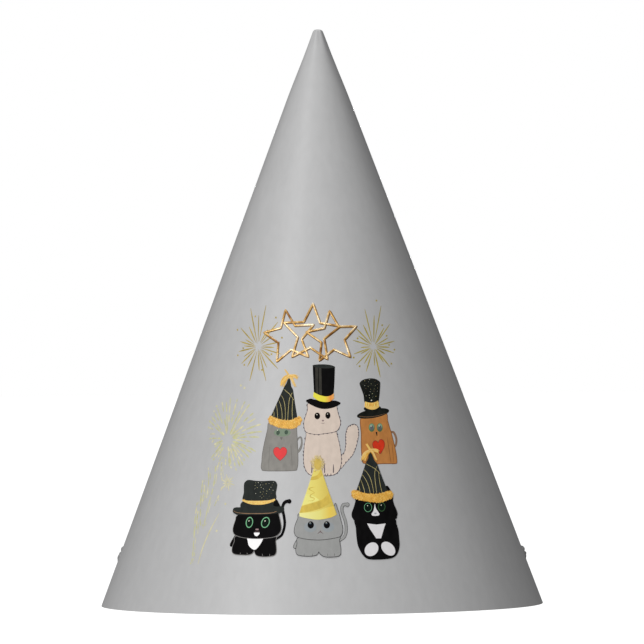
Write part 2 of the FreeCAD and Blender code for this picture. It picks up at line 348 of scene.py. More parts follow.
def sheet_section(azimuth, lift, curl):
    """The sheet cut through at one azimuth: a closed row of points and, for the stretch after
    each point, which face of the sheet it lies on.  The edge at the tip is curled in by the
    given angle."""
    foot = [-height * math.tan(HALF_ANGLE) for height in (lift, lift - CARD)]
    curl_run = CURL_RADIUS * curl
    end = TIP_RUN + curl_run
    ups = [k / SLOPE_ROWS * TIP_RUN for k in range(1, SLOPE_ROWS + 1)]
    ups += [TIP_RUN + k / CURL_ROWS * (curl_run - CHAMFER) for k in range(1, CURL_ROWS + 1)]
    points = [(foot[0] + CHAMFER, lift)] + [(run, lift) for run in ups]
    faces = [PRINTED] * len(points)
    points += [(end, lift - CHAMFER), (end, lift - CARD + CHAMFER)]
    faces += [CUT, BARE]
    points += [(run, lift - CARD) for run in reversed(ups)] + [(foot[1] + CHAMFER, lift - CARD)]
    faces += [BARE] * (len(ups) + 1)
    low_in = -(lift - CARD + CHAMFER) * math.tan(HALF_ANGLE)
    low_out = -(lift - CHAMFER) * math.tan(HALF_ANGLE)
    points += [(low_in, lift - CARD + CHAMFER), (low_out, lift - CHAMFER)]
    faces += [CUT, PRINTED]
    return [sheet_point(azimuth, run, out) for run, out in points], faces


def new_mesh(name, points, faces, materials, face_materials=None, sharp=math.radians(35)):
    """A smooth-shaded mesh object whose edges past the sharp angle stay crisp."""
    mesh = bpy.data.meshes.new(name)
    mesh.from_pydata(points, [], faces)
    for material in materials:
        mesh.materials.append(material)
    if face_materials is not None:
        mesh.polygons.foreach_set("material_index", face_materials)
    mesh.validate()
    mesh.shade_smooth()
    mesh.set_sharp_from_angle(angle=sharp)
    piece = bpy.data.objects.new(name, mesh)
    bpy.context.scene.collection.objects.link(piece)
    return piece


def skin(rings, sides, closed=False):
    """The faces over rings of points that run anticlockwise as seen from the far end, with the
    two ends capped, or joined to each other."""
    faces = []
    for ring in range(rings if closed else rings - 1):
        low, high = ring * sides, (ring + 1) % rings * sides
        for side in range(sides):
            after = (side + 1) % sides
            faces.append((low + side, low + after, high + after, high + side))
    if not closed:
        last = (rings - 1) * sides
        faces += [tuple(reversed(range(sides))), tuple(range(last, last + sides))]
    return faces


def hole_frame(side):
    """A cord hole's own frame: x along the rim, y up the card, z out; side is -1 or 1."""
    azimuth = PUNCH_BACK if side > 0 else math.pi - PUNCH_BACK
    centre = sheet_point(azimuth, PUNCH_HEIGHT / math.cos(HALF_ANGLE), 0.0)
    outward = Vector((math.cos(azimuth), math.sin(azimuth), 0)) * math.cos(HALF_ANGLE)
    outward.z = math.sin(HALF_ANGLE)
    along = Vector((-math.sin(azimuth), math.cos(azimuth), 0))
    turn = Matrix((along, outward.cross(along), outward)).transposed().to_4x4()
    return Matrix.Translation(centre) @ turn


def punch(card, side):
    """Cuts one cord hole through the card."""
    cutter_mesh = bpy.data.meshes.new("punch")
    shape = bmesh.new()
    bmesh.ops.create_cone(
        shape, cap_ends=True, segments=40, radius1=PUNCH_RADIUS, radius2=PUNCH_RADIUS, depth=0.003
    )
    shape.to_mesh(cutter_mesh)
    shape.free()
    cutter = bpy.data.objects.new("punch", cutter_mesh)
    bpy.context.scene.collection.objects.link(cutter)
    cutter.matrix_world = hole_frame(side)
    cut = card.modifiers.new("punch", "BOOLEAN")
    cut.operation = "DIFFERENCE"
    cut.solver = "EXACT"
    cut.object = cutter
    bpy.context.view_layer.update()
    graph = bpy.context.evaluated_depsgraph_get()
    card_mesh = bpy.data.meshes.new_from_object(card.evaluated_get(graph), depsgraph=graph)
    card.modifiers.clear()
    card.data = card_mesh
    bpy.data.objects.remove(cutter)


LAP_CURL = math.radians(20)  # the outer layer's edge is turned in less, over the inner one


def make_card():
    """The rolled sheet: a ring of points at each degree, and at each half over the climb."""
    azimuths = list(range(INNER_EDGE, CLIMB_START - 1))
    azimuths += [k / 2 for k in range(2 * (CLIMB_START - 1), 2 * (CLIMB_END + 1))]
    azimuths += list(range(CLIMB_END + 1, OUTER_EDGE + 1))
    rings = []
    for degrees in azimuths:
        climb = ease((degrees - CLIMB_START + 1) / (CLIMB_END - CLIMB_START + 1))
        curl = CURL_TURN + (LAP_CURL - CURL_TURN) * climb
        ring, kinds = sheet_section(math.radians(degrees), (CARD + GLUE) * climb, curl)
        rings.append(ring)
    count = len(kinds)
    points = [point for ring in rings for point in ring]
    faces = [face[::-1] for face in skin(len(rings), count)]
    materials = kinds * (len(rings) - 1) + [CUT, CUT]
    card = new_mesh("card_sheet", points, faces, card_materials(), materials)
    for side in (-1, 1):
        punch(card, side)
    card.data.set_sharp_from_angle(angle=math.radians(35))
    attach(card, "root")
    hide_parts("card_cone")


# ---- the elastic cord
def elastic_material():
    """Silver-grey braid: crossing yarns from the piece's own lengthwise coordinates."""
    material, tree, shader = start_material("elastic_braid")
    place = add(tree, "UVMap")
    place.uv_map = "braid"
    weave = add(tree, "TexChecker", Scale=8.0)
    wire(tree, place.outputs["UV"], weave.inputs["Vector"])
    yarn = noise(tree, 1800, 3.0)
    colour = ramp(tree, yarn, [(0.35, (0.2, 0.2, 0.205)), (0.65, (0.28, 0.28, 0.28))])
    gloss = spread(tree, yarn, 0.6, 0.75)
    finish(tree, shader, colour, gloss, 0.25, weave.outputs["Fac"], 0.35, 0.00003)
    return material


def nurbs_line(points, resolution=16):
    """The smooth line of a NURBS curve with these control points."""
    data = bpy.data.curves.new("route", "CURVE")
    data.dimensions = "3D"
    data.resolution_u = resolution
    spline = data.splines.new("NURBS")
    spline.points.add(len(points) - 1)
    for target, point in zip(spline.points, points):
        target.co = (*point, 1.0)
    spline.order_u = 3
    spline.use_endpoint_u = True
    route = bpy.data.objects.new("route", data)
    bpy.context.scene.collection.objects.link(route)
    graph = bpy.context.evaluated_depsgraph_get()
    line = bpy.data.meshes.new_from_object(route.evaluated_get(graph), depsgraph=graph)
    found = [vertex.co.copy() for vertex in line.vertices]
    bpy.data.objects.remove(route)
    return found


def even(line, gap):
    """The same line with its points about one gap apart."""
    travelled = [0.0]
    for before, after in zip(line, line[1:]):
        travelled.append(travelled[-1] + (after - before).length)
    count = max(2, round(travelled[-1] / gap))
    found = []
    k = 0
    for step in range(count + 1):
        target = travelled[-1] * step / count
        while k < len(line) - 2 and travelled[k + 1] < target:
            k += 1
        share = (target - travelled[k]) / max(travelled[k + 1] - travelled[k], 1e-12)
        found.append(line[k].lerp(line[k + 1], share))
    return found


YARNS = 6
BRAID_PITCH = 0.0021
BRAID_RELIEF = 0.07  # of the cord's radius
BRAID_SIDES = 24
ROUNDED_ENDS = (0.55, 0.85, 1.0)  # shares of the radius at the last points of each end


def braided_tube(name, line, radius, material):
    """A tube along the line whose surface has the low diamond relief of a braid."""
    sides = BRAID_SIDES
    points, places = [], []
    ahead = (line[1] - line[0]).normalized()
    across = ahead.orthogonal().normalized()
    travelled = 0.0
    for k, centre in enumerate(line):
        before, after = line[max(k - 1, 0)], line[min(k + 1, len(line) - 1)]
        ahead = (after - before).normalized()
        across = (across - ahead * across.dot(ahead)).normalized()
        other = ahead.cross(across)
        travelled += (centre - before).length
        wind = 2 * math.pi * travelled / BRAID_PITCH
        rounding = ROUNDED_ENDS[min(k, len(line) - 1 - k, 2)]
        for side in range(sides):
            angle = 2 * math.pi * side / sides
            yarn = math.cos(YARNS * angle + wind) * math.cos(YARNS * angle - wind)
            reach = radius * rounding * (1 + BRAID_RELIEF * (yarn - 0.5))
            points.append(centre + (across * math.cos(angle) + other * math.sin(angle)) * reach)
            places.append((side / sides, travelled / BRAID_PITCH))
    faces = skin(len(line), sides)
    piece = new_mesh(name, points, faces, [material], sharp=math.radians(60))
    layer = piece.data.uv_layers.new(name="braid")
    for loop in piece.data.loops:
        layer.data[loop.index].uv = places[loop.vertex_index]
    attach(piece, "root")
    return piece


KNOT_SCALE = 0.0005
KNOT_DEPTH = 0.0006
KNOT_TURN_POINTS = 30


def knot_line(side):
    """An overhand knot pulled up on the card, about the hole's own frame: from the hole, twice
    round through itself, and a short tail left hanging down the card."""
    middle = 0.0010 if side < 0 else 0.00134  # the knot's middle plane above the card
    below = 0.0006 if side < 0 else 0.0016  # it hangs a little below its hole
    rise = [Vector((0, 0, -0.0003)), Vector((-0.0004, 0.0002, 0.0004))]
    turns = []
    for k in range(1, KNOT_TURN_POINTS):
        phase = 2 * math.pi * k / KNOT_TURN_POINTS
        reach = KNOT_SCALE * (2 + math.cos(3 * phase))
        spot = Vector((-reach * math.cos(2 * phase), -reach * math.sin(2 * phase) - below, middle))
        spot.z += KNOT_DEPTH * math.sin(3 * phase)
        turns.append(spot)
    tail = [
        Vector((-0.0014, -0.0023, 0.0016)),
        Vector((-0.0011, -0.0033, 0.00145)),
        Vector((-0.0008, -0.0044, 0.0009)),
    ]
    place = hole_frame(side)
    mirror = Matrix.Scale(side, 4, (1, 0, 0))
    return [place @ mirror @ point for point in rise + turns + tail]


def cord_route():
    """The slack cord from hole to hole: in through the left one, down inside the card, along
    the surface the hat stands on in front of the middle, and up to the right one."""
    lead_left, lead_right = 0.0065, 0.0060  # straight in from each hole
    rest = CORD_DIAMETER / 2
    left, right = hole_frame(-1), hole_frame(1)
    return [
        left @ Vector((0, 0, 0)),
        left @ Vector((0, 0, -lead_left)),
        Vector((-0.0548, 0.0046, 0.0086)),
        Vector((-0.0546, -0.0052, 0.0030)),
        Vector((-0.0562, -0.0165, rest)),
        Vector((-0.0538, -0.0300, rest)),
        Vector((-0.0450, -0.0430, rest)),
        Vector((-0.0310, -0.0532, rest)),
        Vector((-0.0145, -0.0600, rest)),
        Vector((0.0040, -0.0610, rest)),
        Vector((0.0200, -0.0538, rest)),
        Vector((0.0348, -0.0510, rest)),
        Vector((0.0478, -0.0416, rest)),
        Vector((0.0554, -0.0288, rest)),
        Vector((0.0566, -0.0142, rest)),
        Vector((0.0546, -0.0026, 0.0027)),
        Vector((0.0550, 0.0060, 0.0084)),
        right @ Vector((0, 0, -lead_right)),
        right @ Vector((0, 0, 0)),
    ]


CORD_STEP = 0.0002  # between the rings of its surface
KNOT_STEP = 0.0001
KNOT_THINNING = 0.96  # stretched by being pulled up, the cord is thinner in its knots


def make_cord():
    material = elastic_material()
    line = even(nurbs_line(cord_route()), CORD_STEP)
    cord = braided_tube("elastic_cord_braid", line, CORD_DIAMETER / 2, material)
    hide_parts("elastic_cord")
    for side, node in ((-1, "knot_left"), (1, "knot_right")):
        tied = even(nurbs_line(knot_line(side)), KNOT_STEP)
        knot = braided_tube(node + "_tied", tied, CORD_DIAMETER / 2 * KNOT_THINNING, material)
        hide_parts(node)


make_cord()
make_card()


# ---- the glue in the seam
def dress_glue():
    """Clear-drying glue film: pale amber, glossy where it pooled."""
    material, tree, shader = start_material("glue_film")
    pooled = noise(tree, 500, 3.0)
    amber = ramp(tree, pooled, [(0.35, (0.6, 0.55, 0.42)), (0.65, (0.78, 0.74, 0.62))])
    gloss = spread(tree, pooled, 0.55, 0.25)
    finish(tree, shader, amber, gloss, 0.5, noise(tree, 1500, 2.0), 0.3)
    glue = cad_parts["seam_adhesive"]
    glue.data.materials.clear()
    glue.data.materials.append(material)


dress_glue()

# ---- drawing on the card
LAYER = 0.000012  # thickness of one layer of ink
LIFTS, LIFT_STEP = 15, 0.05  # the heights that one layer's marks take in turn, in layers
SINK = 0.000006  # how far an ink's underside lies in the card
GRID = 0.6  # millimetres between a patch's inner points, close enough to follow the cone
CLOSEST = 0.01  # points of an outline nearer than this are one
INK_SHARP = math.radians(50)  # an ink's edges past this angle stay crisp
FLAT = [(-1, 0), (-1, 1), (0, 1), (1, 1), (1, 0)]
RAISED = [(-1, 0), (-0.86, 0.5), (-0.5, 0.87), (0, 1), (0.5, 0.87), (0.86, 0.5), (1, 0)]


def smooth(points, closed=True, steps=5):
    """A flowing line through the points, closed or open."""
    count = len(points)
    line = []
    for k in range(count if closed else count - 1):
        near = [k - 1, k, k + 1, k + 2]
        near = [n % count if closed else min(max(n, 0), count - 1) for n in near]
        a, b, c, d = (Vector(points[n]) for n in near)
        for step in range(steps):
            t = step / steps
            bend = (2 * a - 5 * b + 4 * c - d) * t**2 + (3 * b - a - 3 * c + d) * t**3
            line.append(0.5 * (2 * b + (c - a) * t + bend))
    if not closed:
        line.append(Vector(points[-1]))
    return line


def between(lower, upper):
    """The outline between a lower edge and an upper one, both given from left to right."""
    return smooth(lower, False) + smooth(upper, False)[::-1]


def divided(points, longest=0.9):
    """The same closed outline with its long sides divided."""
    line = []
    for start, end in zip(points, points[1:] + points[:1]):
        start, end = Vector(start), Vector(end)
        parts = max(1, math.ceil((end - start).length / longest))
        line += [start.lerp(end, part / parts) for part in range(parts)]
    return line


def heading(angle):
    """One step in the direction of an angle, anticlockwise from the right."""
    return Vector((math.cos(angle), math.sin(angle)))


def turned(x, y, across, up, degrees):
    """The spot across and up from (x, y), in axes turned anticlockwise."""
    angle = math.radians(degrees)
    return Vector((
        x + across * math.cos(angle) - up * math.sin(angle),
        y + across * math.sin(angle) + up * math.cos(angle),
    ))


def oval(x, y, across, up, turn=0, count=26):
    """Points of an ellipse with these half widths, turned anticlockwise by degrees."""
    phases = [2 * math.pi * k / count for k in range(count)]
    return [turned(x, y, across * math.cos(p), up * math.sin(p), turn) for p in phases]


HALF_HEART = [
    (0, 0.3), (0.06, 0.4), (0.2, 0.49), (0.36, 0.46), (0.48, 0.33), (0.5, 0.13), (0.42, -0.09),
    (0.24, -0.3), (0.07, -0.45), (0, -0.5),
]


def heart(x, y, width, height, turn=0):
    """A plump heart about its middle."""
    spots = HALF_HEART + [(-across, up) for across, up in HALF_HEART[-2:0:-1]]
    return [turned(x, y, u * width, v * height, turn) for u, v in smooth(spots, True, 3)]


class Motif:
    """One motif of the print.  Its places are millimetres across and up from its foot, which
    is across and up on the hat's front; every patch and stroke is a thin closed slab of ink
    that follows the card.  Inks of one slot are gathered into one piece."""

    def __init__(self, name, across, up, first_layer=0):
        self.name = name
        self.across = across
        self.up = up
        self.first_layer = first_layer
        self.marks = 0
        self.meshes = {}

    def on_card(self, spot, lift):
        height = (self.up + spot[1]) * MM
        radius = RIM_RADIUS * (1 - height / APEX_HEIGHT)
        azimuth = FRONT + (self.across + spot[0]) * MM / radius
        return sheet_point(azimuth, height / math.cos(HALF_ANGLE), lift)

    def lift(self, layer):
        """The height of a layer's next mark.  Marks of one layer that cross never coincide."""
        self.marks += 1
        return (self.first_layer + layer + self.marks % LIFTS * LIFT_STEP) * LAYER

    def gather(self, spots, lifts, faces, material):
        mesh = self.meshes.setdefault(INK_SLOT[material.name], ([], [], [], []))
        points, polygons, inks, materials = mesh
        if material not in materials:
            materials.append(material)
        first = len(points)
        points += [self.on_card(spot, lift) for spot, lift in zip(spots, lifts)]
        polygons += [tuple(first + corner for corner in face) for face in faces]
        inks += [materials.index(material)] * len(faces)

    def patch(self, outline, layer, material):
        """Fills a closed outline."""
        edge = []
        for spot in outline:
            if not edge or (spot - edge[-1]).length > CLOSEST:
                edge.append(spot)
        if (edge[0] - edge[-1]).length <= CLOSEST:
            edge.pop()
        low_x, high_x = min(s.x for s in edge), max(s.x for s in edge)
        low_y, high_y = min(s.y for s in edge), max(s.y for s in edge)
        inner = [
            Vector((low_x + i * GRID, low_y + j * GRID * 2))
            for i in range(1, math.ceil((high_x - low_x) / GRID))
            for j in range(1, math.ceil((high_y - low_y) / GRID / 2))
        ]
        rim = list(range(len(edge)))
        spots, _, faces, *_ = delaunay_2d_cdt(edge + inner, [], [rim], 1, 1e-4)
        count = len(spots)
        top = self.lift(layer)
        sides = dict.fromkeys(pair for face in faces for pair in zip(face, face[1:] + face[:1]))
        walls = [(a, a + count, b + count, b) for a, b in sides if (b, a) not in sides]
        under = [tuple(corner + count for corner in reversed(face)) for face in faces]
        self.gather(
            list(spots) * 2, [top] * count + [-SINK] * count, faces + under + walls, material
        )

    def stroke(self, path, widths, layer, material, closed=False, section=FLAT, rise=0.0):
        """A line of the given widths along a path of close points."""
        count = len(path)
        top = self.lift(layer) + rise
        spots, lifts = [], []
        for k, spot in enumerate(path):
            before = path[(k - 1) % count] if closed else path[max(k - 1, 0)]
            after = path[(k + 1) % count] if closed else path[min(k + 1, count - 1)]
            ahead = (after - before).normalized()
            across = Vector((-ahead.y, ahead.x))
            place = k / max(count - 1, 1) * (len(widths) - 1)
            low = min(int(place), len(widths) - 2) if len(widths) > 1 else 0
            high = min(low + 1, len(widths) - 1)
            half = (widths[low] + (widths[high] - widths[low]) * (place - low)) / 2
            for out, up in section:
                spots.append(spot - across * out * half)
                lifts.append(top * up - SINK * (1 - up))
        self.gather(spots, lifts, skin(count, len(section), closed), material)

    def line(self, points, widths, layer, material, steps=5):
        """A flowing open stroke through a few points."""
        self.stroke(smooth(points, False, steps), widths, layer, material)

    def rim(self, outline, width, layer, material):
        """A thin line all round a closed outline."""
        self.stroke(outline, [width], layer, material, closed=True)

    def shape(self, points, layer, material):
        """Fills a flowing closed outline through the points."""
        self.patch(smooth(points), layer, material)

    def edged(self, outline, layer, material, width, edge):
        """Fills a closed outline and draws a thin line round it, one layer higher."""
        self.patch(outline, layer, material)
        self.rim(outline, width, layer + 1, edge)

    def hair(self, root, end, widths, layer, material):
        """A short straight stroke."""
        self.stroke([root, root.lerp(end, 0.5), end], widths, layer, material)

    def finish(self):
        for slot, (points, faces, inks, materials) in sorted(self.meshes.items()):
            name = f"{self.name}_{slot}"
            piece = new_mesh(name, points, faces, materials, inks, INK_SHARP)
            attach(piece, "root")


# ---- stars and fireworks
def star(x, y, reach, turn=0, waist=0.46, points=5):
    """Corners of a star, its first point upwards."""
    found = []
    for k in range(2 * points):
        radius = reach if k % 2 == 0 else reach * waist
        angle = math.radians(90 + turn) + math.pi * k / points
        found.append(Vector((x, y)) + heading(angle) * radius)
    return found


def make_stars():
    """A row of big interlocking stars in raised gold line, each over a painted shadow line."""
    row = Motif("print_stars", -3, 86.2)
    stars = [(-6.8, -0.6, 8.7, 8, 1), (0.2, 0.4, 9.5, -4, 3), (6.9, -0.8, 8.4, 6, 5)]
    for x, y, reach, turn, layer in stars:
        outline = divided(star(x, y, reach, turn), 0.4)
        # painted shadow, offset down and to the right of the raised line
        shade = [spot + Vector((0.12, -0.14)) for spot in outline]
        row.stroke(shade, [0.72], layer, GOLD_PAINTED_SHADOW, closed=True)
        row.stroke(outline, [0.64], layer + 1, GOLD, closed=True, section=RAISED, rise=0.00018)
    row.finish()


def make_burst(name, across, up, reaches, material, seed):
    """A firework: tapering rays whose reach follows the four given, right, up, left, down,
    and a few sparks past their ends."""
    burst = Motif(name, across, up)
    pick = random.Random(seed)
    rays = 24
    for k in range(rays):
        angle = 2 * math.pi * (k + pick.uniform(-0.3, 0.3)) / rays
        flat = reaches[0] if math.cos(angle) > 0 else reaches[2]
        tall = reaches[1] if math.sin(angle) > 0 else reaches[3]
        reach = 1 / math.hypot(math.cos(angle) / flat, math.sin(angle) / tall)
        reach *= pick.uniform(0.9, 1.06) if k % 2 else pick.uniform(0.55, 0.75)
        ahead = heading(angle)
        start = pick.uniform(0.8, 1.8)
        path = [ahead * (start + (reach - start) * step / 10) for step in range(11)]
        width = pick.uniform(0.32, 0.44)
        burst.stroke(path, [0.08, width * 0.7, width, width, 0.12], 1, material)
        if pick.random() < 0.35:
            spot = ahead.lerp(Vector((-ahead.y, ahead.x)), 0.12) * reach * pick.uniform(1.05, 1.25)
            burst.patch(star(spot.x, spot.y, 0.42, pick.uniform(0, 70), 0.55, 4), 1, material)
    burst.finish()


def dashes(motif, path, width, layer, pick, fullness=0.8):
    """A broken stroke of random dashes, like a trail of sparks."""
    start = 0
    while start < len(path) - 2:
        end = min(start + pick.randint(3, 6), len(path) - 1)
        if pick.random() < fullness:
            tone = pick.choice((SPARK_PALE, SPARK_PALE, SPARK_WARM))
            size = width * pick.uniform(0.75, 1.1)
            motif.stroke(path[start : end + 1], [size * 0.4, size, size * 0.4], layer, tone)
        start = end + pick.choice((0, 1))


def make_palm():
    """The tall loose firework at the left: drooping broken rays and trails of sparks."""
    palm = Motif("print_palm", -31, 53.5)
    pick = random.Random(11)
    rays = 38
    for k in range(rays):
        angle = 2 * math.pi * (k + pick.uniform(-0.25, 0.25)) / rays
        reach = 8.9 + 5.4 * math.cos(angle - math.radians(62)) + pick.uniform(-0.7, 0.7)
        if math.sin(angle) < -0.5:
            reach = max(reach, pick.uniform(7.2, 8.8))
        ahead = heading(angle)
        droop = Vector((0, -1.5 if math.cos(angle) > 0.2 else -0.7))
        inner = pick.choice((2, 2.8, 5.5))
        shares = [step / 18 for step in range(19)]
        path = [ahead * (inner + (reach - inner) * s) + droop * s**2 for s in shares]
        dashes(palm, path, 0.62, 1, pick, 0.93)
    trails = [
        [(-4.4, -8.1), (-4.9, -13.9), (-7, -21.3), (-8.3, -26.8)],
        [(-7.4, -8.6), (-7, -13), (-7.6, -18)],
        [(-9.5, -12.6), (-9.9, -17.6), (-9.8, -25), (-9.2, -27.8)],
        [(-8.6, -12.8), (-8.7, -15.5), (-8.9, -19)],
        [(-11.4, -19.4), (-11.9, -24), (-12.1, -31), (-12.4, -36.5), (-13.2, -38.6)],
        [(-10.9, -22), (-11.2, -26), (-11.3, -30)],
        [(-1.5, -14.4), (-3.2, -18), (-4.4, -20.4)],
        [(-2.1, -8.3), (-2.2, -10.5), (-1.6, -12.6)],
    ]
    for trail in trails:
        line = smooth(trail, False, 12)
        dashes(palm, line, 0.55, 1, pick, 0.95)
        beside = [spot + Vector((0.7, 0.3)) for spot in line]
        dashes(palm, beside, 0.3, 1, pick, 0.55)
    long_trail = [(-2.5, -22.7), (-5.9, -28.2), (-8.4, -33.3), (-10.1, -38.4)]
    palm.line(long_trail, [0.1, 0.4, 0.36, 0.14], 2, SPARK_WARM, 8)
    middle = Vector((0.4, -13.2))
    for k in range(12):
        ahead = heading(2 * math.pi * k / 12 + 0.2)
        reach = 2.3 if k % 2 else 1.5
        ray = [middle + ahead * (0.3 + reach * step / 4) for step in range(5)]
        palm.stroke(ray, [0.12, 0.36, 0.12], 2, SPARK_WARM)
    for x, y in ((-0.3, -19.8), (-3.3, -28.1), (4.5, 17), (5.9, 16.2)):
        palm.patch(star(x, y, 0.5, 20, 0.5, 4), 1, SPARK_WARM)
    palm.finish()


# ---- hats on the cats
def ragged(outline, size, seed):
    """The same outline with small uneven tufts."""
    pick = random.Random(seed)
    found = []
    for k, spot in enumerate(outline):
        ahead = (outline[(k + 1) % len(outline)] - outline[k - 1]).normalized()
        out = pick.uniform(0.3, 1) if k % 2 else pick.uniform(-0.4, 0)
        found.append(spot + Vector((ahead.y, -ahead.x)) * size * out)
    return found


BAND_HAIRS = 420


def plush_band(motif, upper, lower, layer, seed):
    """A plush band between its upper and lower edges, from left to right: a ragged shape
    with short hairs in three tones."""
    pick = random.Random(seed)
    outline = smooth(lower + upper[::-1], True, 7)
    motif.patch(ragged(outline, 0.14, seed), layer, BAND_GOLD)
    upper, lower = smooth(upper, False, 8), smooth(lower, False, 8)
    for k in range(BAND_HAIRS):
        along = pick.random()
        top = upper[round(along * (len(upper) - 1))]
        foot = lower[round(along * (len(lower) - 1))]
        height = pick.choice((0.02, 0.98)) if k % 3 == 0 else pick.random()
        root = foot.lerp(top, height)
        end = root + heading(math.radians(pick.uniform(0, 360))) * pick.uniform(0.25, 0.45)
        tone = pick.choice((BAND_GOLD, BAND_PALE, BAND_DEEP))
        motif.hair(root, end, [0.26, 0.22, 0.06], layer + 1, tone)


# The bunches of strands about a cone hat's point, and how thick they are.
TASSEL = [
    ([(-0.1, 0.4), (-1.3, -0.1), (-2.2, -1.1), (-2.7, -2.5)], 0.95),
    ([(-0.1, 0.2), (-0.8, -0.4), (-1.4, -1.6), (-1.7, -2.8)], 0.6),
    ([(0.1, 0.4), (1.2, 0.4), (2.1, 0.1), (2.6, -0.3)], 0.9),
    ([(0.1, 0.2), (0.8, -0.4), (1.3, -1.5), (1.9, -2.7)], 0.65),
    ([(0, 0.4), (-0.5, 1.2), (-0.9, 1.8), (-1.3, 2.4)], 0.45),
]


def tassel(motif, x, y, layer, seed):
    """A tuft at the point of a hat: bunches of strands that hang down on both sides."""
    pick = random.Random(seed)
    for bunch, width in TASSEL:
        path = [Vector((x + u, y + v)) for u, v in bunch]
        motif.line(path, [width * 0.8, width, width, width * 0.8, 0.15], layer, BAND_GOLD, 6)
        for _ in range(9):
            shift = Vector((pick.uniform(-0.55, 0.55), pick.uniform(-0.55, 0.55))) * width
            tone = pick.choice((BAND_PALE, TASSEL_PALE, TASSEL_PALE, BAND_GOLD))
            motif.line([spot + shift for spot in path], [0.12, 0.22, 0.06], layer + 1, tone, 6)


# The edge and the stripes of a cone hat: shares of its width, and of its height to the point.
CONE_EDGE = [
    (1.03, 0.35), (1.15, 0.7), (1, 0.78), (1.15, 0.92), (0.8, 0.98), (0.2, 0.98), (-0.2, 0.92),
    (0, 0.82), (-0.08, 0.74), (-0.02, 0.4),
]
HAT_STRIPES = [
    [(0.01, 0.13), (0.08, 0.06), (0.12, -0.03)],
    [(0, 0.29), (0.11, 0.2), (0.22, 0.06), (0.28, -0.05)],
    [(0, 0.41), (0.17, 0.33), (0.34, 0.18), (0.42, 0.02), (0.44, -0.07)],
    [(0, 0.54), (0.25, 0.46), (0.43, 0.33), (0.52, 0.14), (0.55, -0.06)],
    [(0.98, 0.62), (0.72, 0.48), (0.66, 0.31), (0.645, 0.14), (0.64, -0.07)],
    [(0.95, 0.48), (0.86, 0.31), (0.82, 0.14), (0.81, -0.05)],
    [(0, 0.69), (0.44, 0.63), (0.77, 0.56), (1, 0.44)],
]


class Cone:
    """A drawn cone hat, given by the ends of its foot, its point and the sag of its foot."""

    def __init__(self, left, right, tip, sag):
        self.left, self.right, self.tip = Vector(left), Vector(right), Vector(tip)
        self.sag = sag

    def spot(self, across, up):
        """The place at a share of the hat's width, and of its height to the point."""
        return self.left.lerp(self.right, across).lerp(self.tip, up)

    def outline(self, edge):
        """The sagging foot from left to right, then round the given edge."""
        sags = [self.sag * math.sin(math.pi * k / 10) for k in range(11)]
        foot = [self.spot(k / 10, 0) - Vector((0, sag)) for k, sag in enumerate(sags)]
        return foot + [self.spot(*place) for place in edge]

    def band(self, lower, upper):
        """The outline of a band between its lower edge and its upper one."""
        return between(*([self.spot(*place) for place in edge] for edge in (lower, upper)))


def striped_cone(motif, left, right, tip, sag, layer):
    """A dark cone hat with fine gold lines swept over it."""
    cone = Cone(left, right, tip, sag)
    motif.patch(divided(cone.outline(CONE_EDGE)), layer, CHARCOAL)
    for stripe in HAT_STRIPES:
        path = [cone.spot(*place) for place in stripe]
        motif.line(path, [0.06, 0.1, 0.11, 0.08], layer + 1, STRIPE, 7)


SPECKLE_GAP = 0.7


def speckles(motif, low, high, count, layer, seed):
    """Small glitter dots strewn between two corners, thicker towards the upper right and none
    of them close to another."""
    pick = random.Random(seed)
    strewn = []
    while len(strewn) < count:
        across, up = pick.random(), pick.random()
        spot = Vector((low[0] + (high[0] - low[0]) * across, low[1] + (high[1] - low[1]) * up))
        apart = all((spot - other).length > SPECKLE_GAP for other in strewn)
        if apart and pick.random() < 0.15 + 0.4 * across + 0.45 * up:
            strewn.append(spot)
            size = pick.uniform(0.05, 0.11)
            tone = pick.choice((GLINT, SPARK_PALE, STRIPE, BRIM_GOLD))
            motif.patch(oval(spot.x, spot.y, size, size, 0, 6), layer, tone)


# ---- the six cats
def cat_eye(motif, x, y, across, up, layer, ring, ball, glint=0.22, width=0.24, lean=0):
    """A round eye: coloured ring, dark ball and a glint up to the left."""
    motif.patch(oval(x, y, across, up, lean), layer, ring)
    motif.patch(oval(x, y, across - width, up - width, lean), layer + 1, ball)
    spark = oval(x - across * 0.12, y + up * 0.38, glint, glint * 1.15, -20, 12)
    motif.patch(spark, layer + 2, GLINT)


def marks(motif, across, low, high, width, layer, material):
    """Short upright lines at several places across."""
    for x in across:
        path = [(x, low), (x + 0.05, (low + high) / 2), (x, high)]
        motif.line(path, [width, width, width * 0.4], layer, material)


